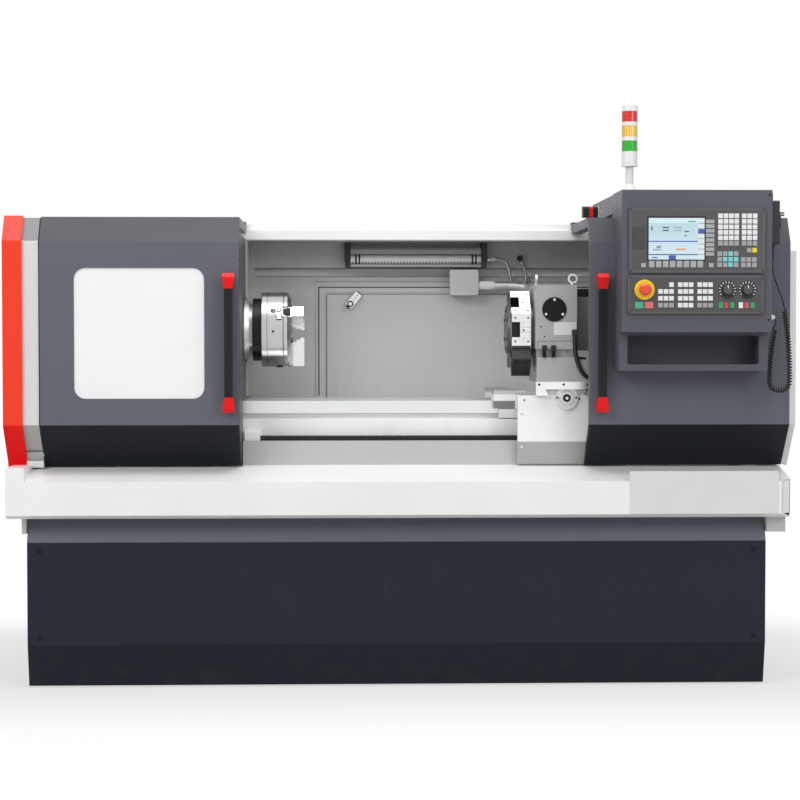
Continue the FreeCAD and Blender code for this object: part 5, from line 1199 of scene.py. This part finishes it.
def soften(piece, width, segments=2, angle=35):
    """Rounds the sharp edges and shades the rounds smooth."""
    alone(piece)
    rounding = piece.modifiers.new("soft_edges", "BEVEL")
    rounding.width = width / 1000
    rounding.segments = segments
    rounding.limit_method = "ANGLE"
    rounding.angle_limit = math.radians(angle)
    bpy.ops.object.modifier_apply(modifier=rounding.name)
    bpy.ops.object.shade_smooth_by_angle(angle=math.radians(angle))
    return piece


def joined(name, pieces):
    """Pieces of one fitting joined in one mesh."""
    alone(pieces[0])
    for piece in pieces[1:]:
        piece.select_set(True)
    if len(pieces) > 1:
        bpy.ops.object.join()
    return started(name, pieces[0])


def repeated(name, pattern, moves):
    """Copies a pattern by each move and joins the copies."""
    copies = []
    for move in moves:
        copy = pattern.copy()
        copy.data = pattern.data.copy()
        scene.collection.objects.link(copy)
        copy.matrix_world = move
        copies.append(copy)
    bpy.data.objects.remove(pattern)
    return joined(name, copies)


def set_out(name, pattern, places):
    """Copies a pattern to each place."""
    return repeated(name, pattern, [Matrix.Translation(metres(place)) for place in places])


def set_round(name, pattern, centre, count, first=0):
    """Copies a pattern evenly round a lengthwise axis, from a first angle on."""
    there = Matrix.Translation(metres(centre))
    turns = [math.radians(first + 360 / count * number) for number in range(count)]
    return repeated(name, pattern, [there @ Matrix.Rotation(turn, 4, "X") @ there.inverted()
                                    for turn in turns])


def turned(piece, angle):
    """Turns a piece about the upright axis."""
    piece.rotation_euler = (0, 0, math.radians(angle))
    return started(piece.name, piece)


def cap_screw(radius, height, way=FRONT, socket=0.55):
    """A socket-head screw with its seat at the origin, its head looking one way."""
    span = (-height, 0) if way is FRONT else (0, height)
    head = round_piece("cap_screw", "Z" if way is UP else "Y", span, (0, 0), radius, 20)
    sink(head, way, radius * 0.45, height * socket)
    return soften(head, radius * 0.10, 1)


def fit(piece, body, look):
    """Gives a piece its finish and its body."""
    slot, finish = LOOKS[look]
    dress(piece, finish)
    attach(piece, body)


# ------------------------------------------------------------------ screws

TRAY_FACE, APRON_FACE, TURRET_FLAT = -501.6, -299.95, -287.9
SCREWS = (  # name, body, look, radius, height, places of those that face the operator
    ("cover_screws", "cross_slide", "bright", 4.2, 2.4,
     [(505 + 31 * math.cos(turn), -315.1, 1195 + 31 * math.sin(turn))
      for turn in (math.radians(angle) for angle in (90, 210, 330))]),
    ("housing_pins", "cross_slide", "dark", 2.6, 1.0,
     [(462, -312.05, 1139.6), (474, -312.05, 1107.6), (549, -305.05, 1058)]),
    ("slide_nose_screws", "cross_slide", "dark", 4.0, 1.4,
     [(x, -317.95, 953.5) for x in (456, 535, 613)]),
    ("screw_cap_screws", "carriage", "dark", 3.2, 1.4,
     [(515.2, -313.95, 911), (576.2, -313.95, 911)]),
    ("saddle_front_screws", "carriage", "dark", 3.0, 1.2,
     [(588.5, APRON_FACE, 907), (410, APRON_FACE, 903), (682, APRON_FACE, 903)]),
    ("apron_screws", "carriage", "bright", 5.0, 2.0,
     [(x, APRON_FACE, z) for x in (402, 690) for z in (858, 752)]),
    ("partition_edge_screws", "base", "dark", 3.4, 1.4,
     [(-501.5, -394.1, z) for z in (1349, 1280, 980, 912)]),
    ("box_cover_screws", "right_door", "dark", 3.4, 1.4,
     [(1138, -590, z) for z in (1543, 1160)]),
    ("panel_corner_screws", "right_door", "dark", 2.6, 0.8,
     [(x, -603.95, z) for x in (706, 1114) for z in (1184, 1290)] +
     [(x, -597.95, z) for x in (709, 1117) for z in (1310, 1498)]))
BACK_SCREWS = (  # the same, of those that face the back
    ("back_sheet_screws", "base", "bright", 5.0, 3.0,
     [(x, 322.05, z) for x in (-240, 120, 480, 840, 1200) for z in (1420, 705)]),
    ("stand_back_bolts", "base", "dark", 7.0, 4.0,
     [(x, 318.05, z) for x in (-240, 180, 600, 1080) for z in (520, 60)]))


def make_plain_screws():
    """Screws of the sheets, covers and panels."""
    for name, body, look, radius, height, places in SCREWS:
        fit(set_out(name, cap_screw(radius, height), places), body, look)
    for name, body, look, radius, height, places in BACK_SCREWS:
        fit(set_out(name, cap_screw(radius, height, BACK, 0.5), places), body, look)


def make_round_screws():
    """Screws that repeat round the turret disc and the chuck, first set out on one side."""
    for name, body, look, screw, places, centre, count, first in (
            ("turret_clamp_screws", "turret", "dark", cap_screw(3.0, 1.4),
             [(x, TURRET_FLAT, SPINDLE_HEIGHT + z) for x in (381.5, 423) for z in (-38, 38)] +
             [(408.5, TURRET_FLAT, SPINDLE_HEIGHT - 2)], TURRET_AXIS, TURRET_FLATS, 0),
            ("turret_wedge_screws", "turret", "bright", cap_screw(3.6, 1.0),
             [(408.5, TURRET_FLAT, SPINDLE_HEIGHT + z) for z in (-26, 23)],
             TURRET_AXIS, TURRET_FLATS, 0),
            ("turret_face_screws", "turret", "dark", turned(cap_screw(5.0, 3.0), -90),
             [(362.1, TURRET_AXIS[1], SPINDLE_HEIGHT + 62)], TURRET_AXIS, 6, 0),
            ("boring_block_screws", "turret", "dark", cap_screw(4.5, 3.0),
             [(x, -338, SPINDLE_HEIGHT + z) for x in (385, 417) for z in (-24, 24)],
             TURRET_AXIS, 1, 45),
            ("chuck_nut_screws", "spindle", "bright", cap_screw(3.9, 1.4, UP),
             [(-385.5, 0, 1257.2)], SPINDLE_AXIS, 3, 60),
            ("chuck_rim_holes", "spindle", "dark", cap_screw(4.0, 0.8),
             [(-404, -125, 1124)], SPINDLE_AXIS, 3, 0),
            ("chuck_face_bolts", "spindle", "dark", turned(cap_screw(8.0, 4.0), 90),
             [(-346.3, 0, SPINDLE_HEIGHT - 74)], SPINDLE_AXIS, 3, 60)):
        fit(set_round(name, set_out("one_side", screw, places), centre, count, first), body, look)


make_plain_screws()
make_round_screws()


# ------------------------------------------------------------------ stand and tray

def make_tray_fittings():
    """The bare plate with its rivets, the corner cover and the end brackets of the tray."""
    plate = slab("tray_bare_plate", (723, 1191), (TRAY_FACE, -500.1), (553, 687))
    fit(soften(plate, 0.5, 1), "base", "bare_plate")
    rivet = soften(round_piece("rivet", "Y", (-1.6, 0), (0, 0), 2.8, 16), 0.9, 2)
    fit(set_out("tray_plate_rivets", rivet,
                [(x, TRAY_FACE, z) for x in (728, 1164) for z in (572, 676)]), "base", "bright")

    corner = slab("tray_corner_cover", (1202, 1236), (-500, -498), (553, 659))
    shift(corner, RIGHT, (0, 34, 0))
    shift(corner, UP, (0, 0, 0.5))
    fit(soften(corner, 0.6, 1), "base", "white")

    for name, x in (("right", (1167.5, 1228)), ("left", (-1181, -1167.5))):
        bracket = slab(f"tray_end_bracket_{name}", x, (-440, 300), (489, 539.8))
        pick(bracket, DOWN)
        bpy.ops.mesh.inset(thickness=0.006)
        bpy.ops.transform.translate(value=metres((0, 0, 4)))
        fit(soften(close(bracket), 2, 2), "base", "bracket")


def make_guard_skirts():
    """The folded feet of the left end guard: red below the trim, white beside it."""
    for name, x, y, z, move, round_by, look in (
            ("red", (-1238, -1178.2), (-347, -335), (691.2, 713), 9, 0.8, "red"),
            ("white", (-1178, -1124.6), (-349, -346), (691.2, 713), 9, 0.8, "white"),
            ("slant", (-1178, -1124.6), (-358, -356), (711, 742), 14, 0.5, "guard")):
        skirt = shift(slab(f"guard_skirt_{name}", x, y, z), DOWN, (0, move, 0))
        fit(soften(skirt, round_by, 1), "base", look)


def make_feet_nuts():
    """Lock nuts on the studs of the levelling feet."""
    nut = soften(sink(round_piece("lock_nut", "Z", (0, 11), (0, 0), 17, 6), UP, 6.0, 0.4), 1.2, 1)
    places = [(x, y, 41) for x in (-1060, 0, 1060) for y in (-280, 248)]
    fit(set_out("foot_lock_nuts", nut, places), "base", "bright")


make_tray_fittings()
make_guard_skirts()
make_feet_nuts()


# ------------------------------------------------------------------ turret, slide and chuck

def make_housing_fittings():
    """The bare plate of the turret housing, and the two clamps on the plugs at its foot."""
    plate = slab("housing_bare_plate", (503.5, 576.5), (-313.2, -312.05), (1112, 1154))
    fit(soften(plate, 0.4, 1), "cross_slide", "bare_plate")
    stem = slab("clamp_stem", (-3.4, 3.4), (-4, 0), (-19, 0))
    head = sink(slab("clamp_head", (-8, 8), (-7, 0), (0, 10)), FRONT, 3.0, 2.0)
    wings = taper(slab("clamp_wings", (-10, 10), (-5, 0), (10, 18)), UP, (0.55, 1, 1), (0, 0, 18))
    clamp = soften(joined("base_clamp", [stem, head, wings]), 0.8, 1)
    fit(set_out("housing_base_clamps", clamp, [(x, -318.2, 1062) for x in (473, 502)]),
        "cross_slide", "black")


def make_screw_cap():
    """The socket on the cap of the cross-feed screw, and its key."""
    middle = (545.7, 910)
    hub = sink(round_piece("feed_screw_socket", "Y", (-319.5, -314.05), middle, 12.5, 36),
               FRONT, 2.6, 3.2)
    fit(soften(hub, 0.7, 2), "carriage", "dark")
    key = sink(round_piece("feed_screw_key", "Y", (-318.4, -316.3), middle, 5.6, 6),
               FRONT, 1.6, 1.2)
    fit(soften(key, 0.3, 1), "carriage", "bright")


def make_chuck_nuts():
    """A T-shaped nut behind each jaw on the rim, on its dark seat, with its ring."""
    for grow, look, name in ((1.3, "dark", "chuck_nut_seats"), (0, "jaw_nut", "chuck_nuts")):
        top = 1257.2 - grow * 0.6
        foot = slab("nut_foot", (-395.5 - grow, -377 + grow), (-19 - grow, 19 + grow), (1252, top))
        pick(foot, UP)
        bpy.ops.mesh.inset(thickness=0.0006)
        close(foot)
        wings = slab("nut_wings", (-391 - grow, -378 + grow), (-32 - grow, 32 + grow),
                     (1247.5, top - 0.2))
        nut = soften(joined("nut_plates", [foot, wings]), 0.4, 1)
        fit(set_round(name, nut, SPINDLE_AXIS, 3, 60), "spindle", look)
    ring = sink(round_piece("nut_ring", "Z", (1256.9, 1258), (-385.5, 0), 7.2, 28), UP, 1.2, 0.5)
    fit(set_round("chuck_nut_rings", ring, SPINDLE_AXIS, 3, 60), "spindle", "dark")


def make_jaw_keys():
    """The dark dovetail key on the outer end of each jaw; it slides with the jaw in its slot."""
    for jaw, turn in ((1, 60), (2, 180), (3, 300)):
        key = slab("dovetail_key", (-372, -347), (-13, 13), (1251.8, 1253.6))
        taper(key, LEFT, (1, 0.55, 1), (-372, 0, 1252))
        key = set_round(f"jaw_{jaw}_key", soften(key, 0.3, 1), SPINDLE_AXIS, 1, turn)
        fit(key, f"jaw_{jaw}", "dark")


make_housing_fittings()
make_screw_cap()
make_chuck_nuts()
make_jaw_keys()


# ------------------------------------------------------------------ back wall and lamp

def place_latch(name, *pieces):
    """Turns pieces of the latch to its slant and sets them on its front."""
    latch = joined(name, pieces)
    latch.rotation_euler = (0, math.radians(-50), 0)
    latch.location = metres((-136.5, 232.95, 1232.5))
    return started(name, latch)


def make_latch_plate():
    """The oval plate that the latch turns on, with its round lock and three pins."""
    plate = slab("latch_plate", (-34, 34), (-2.4, 0), (-13, 13))
    pick(plate, LEFT, RIGHT)
    bpy.ops.mesh.bevel(offset=0.011, segments=6)
    fit(place_latch("latch_face", soften(close(plate), 0.5, 1)), "latch", "bright")
    rim = sink(round_piece("latch_rim", "Y", (-4.6, -2.3), (-17, 0), 11, 32), FRONT, 2.2, 1.4)
    pin = soften(round_piece("latch_pin", "Y", (-3.6, -2.3), (0, 0), 2.2, 12), 0.3, 1)
    pins = set_out("latch_pins", pin, [(x, 0, 0) for x in (1, 11, 21)])
    fit(place_latch("latch_rim_and_pins", rim, pins), "latch", "dark")
    lock = sink(round_piece("latch_lock", "Y", (-5.4, -3.2), (-17, 0), 6.6, 28), FRONT, 4.2, 1.0)
    fit(place_latch("latch_lock", soften(lock, 0.4, 1)), "latch", "bright")


def make_lamp_fittings():
    """The lamp's ring clamps and cheeks, and the gland and wall collar of its conduit."""
    clamp = soften(round_piece("tube_clamp", "X", (-3, 3), (220, 1373.5), 17.4, 40), 0.8, 1)
    fit(set_out("lamp_tube_clamps", clamp, [(x, 0, 0) for x in (-116, -128, 276, 288)]),
        "base", "black")
    for name, x in (("left", (-167, -146)), ("right", (306, 327))):
        cheek = sink(slab(f"lamp_cheek_{name}", x, (202.6, 250), (1366, 1431)), FRONT, 4.0, 2.0)
        fit(soften(cheek, 1.5, 2), "base", "black")
    nut = soften(round_piece("conduit_nut", "X", (327, 341), (222, 1374), 9.5, 6), 1.0, 1)
    sleeve = round_piece("conduit_sleeve", "X", (341, 358), (222, 1374), 7.4, 28)
    taper(sleeve, RIGHT, (1, 0.86, 0.86), (358, 222, 1374))
    fit(joined("conduit_gland", [nut, soften(sleeve, 0.6, 1)]), "base", "bright")
    collar = sink(round_piece("conduit_collar", "Y", (224, 228.2), (444, 1378), 10.6, 36),
                  FRONT, 3.5, 2.0)
    fit(soften(collar, 1.2, 2), "base", "rubber")


make_latch_plate()
make_lamp_fittings()


# ------------------------------------------------------------------ cabinet, right end and cord

def make_cabinet_door_fittings():
    """Louvres and lock of the cabinet door."""
    louvre = slab("louvre", (-120, 120), (0, 7), (-9, 9))
    taper(louvre, UP, (0.94, 0.05, 1), (0, 0, 9))
    louvre = soften(sink(louvre, DOWN, 1.2, 3.0), 1.0, 2)
    places = [(-701, 620.05, z) for low in (200, 1060) for z in range(low, low + 241, 30)]
    fit(set_out("cabinet_louvres", louvre, places), "cabinet_door", "cabinet")

    plate = sink(slab("lock_plate", (-352, -322), (620.05, 624), (690, 860)), BACK, 3.5, 1.0)
    fit(soften(plate, 1.2, 2), "cabinet_door", "black")
    lever = slab("lock_lever", (-345, -329), (624.2, 634), (715, 835))
    taper(lever, BACK, (0.7, 1, 0.92), (-337, 634, 775))
    fit(soften(lever, 2.5, 3), "cabinet_door", "dark")
    lock = sink(round_piece("lock_cylinder", "Y", (622, 629), (-337, 699), 6.5, 24),
                BACK, 2.0, 1.2)
    fit(soften(lock, 0.6, 1), "cabinet_door", "bright")


def make_eye_bolts():
    """An eye bolt on each corner of the cabinet's roof."""
    bolts = []
    for x in (-1040, -360):
        for y in (380, 560):
            boss = pull(round_piece("roof_boss", "Z", (1440.1, 1450), (x, y), 17, 32),
                        UP, (0, 0, 6))
            taper(boss, UP, (0.6, 0.6, 1), (x, y, 1456))
            bolts.append(soften(boss, 1.5, 2))
            bpy.ops.mesh.primitive_torus_add(
                location=metres((x, y, 1476)), rotation=BAR_TURN["Y"], major_radius=0.0195,
                minor_radius=0.0055, major_segments=36, minor_segments=12)
            bolts.append(started("roof_ring"))
            bpy.ops.object.shade_smooth()
    fit(joined("cabinet_eye_bolts", bolts), "base", "bright")


def make_side_vent():
    """The vent on the side of the cabinet, with its blades."""
    vent = [soften(sink(slab("side_vent", (-300.05, -294), (400, 520), (300, 420)),
                        RIGHT, 8, 2.5), 1.5, 2)]
    for z in range(312, 409, 12):
        vent.append(soften(slab("vent_blade", (-299, -295.5), (410, 510), (z, z + 4)), 0.8, 1))
    fit(joined("cabinet_side_vent", vent), "base", "black")


def make_hatch_frame():
    """The frame of four strips round the hand hole of the right end guard."""
    strips = [((y - 8, y + 8), (980, 1280)) for y in (-143, 143)]
    strips += [((-151, 151), (z - 8, z + 8)) for z in (987, 1273)]
    fit(joined("hatch_frame", [soften(slab("hatch_strip", (1265.1, 1267.8), y, z), 0.8, 1)
                               for y, z in strips]), "base", "white")


def make_cord_gland():
    """The white gland that grips the cord at the box."""
    gland = round_piece("cord_gland_nut", "X", (1156.1, 1163), (-520, 1168), 9.0, 8)
    pull(gland, RIGHT, (8, 0, 0))
    taper(gland, RIGHT, (1, 0.62, 0.62), (1171, -520, 1168))
    fit(soften(gland, 0.8, 2), "right_door", "gland")


make_cabinet_door_fittings()
make_eye_bolts()
make_side_vent()
make_hatch_frame()
make_cord_gland()
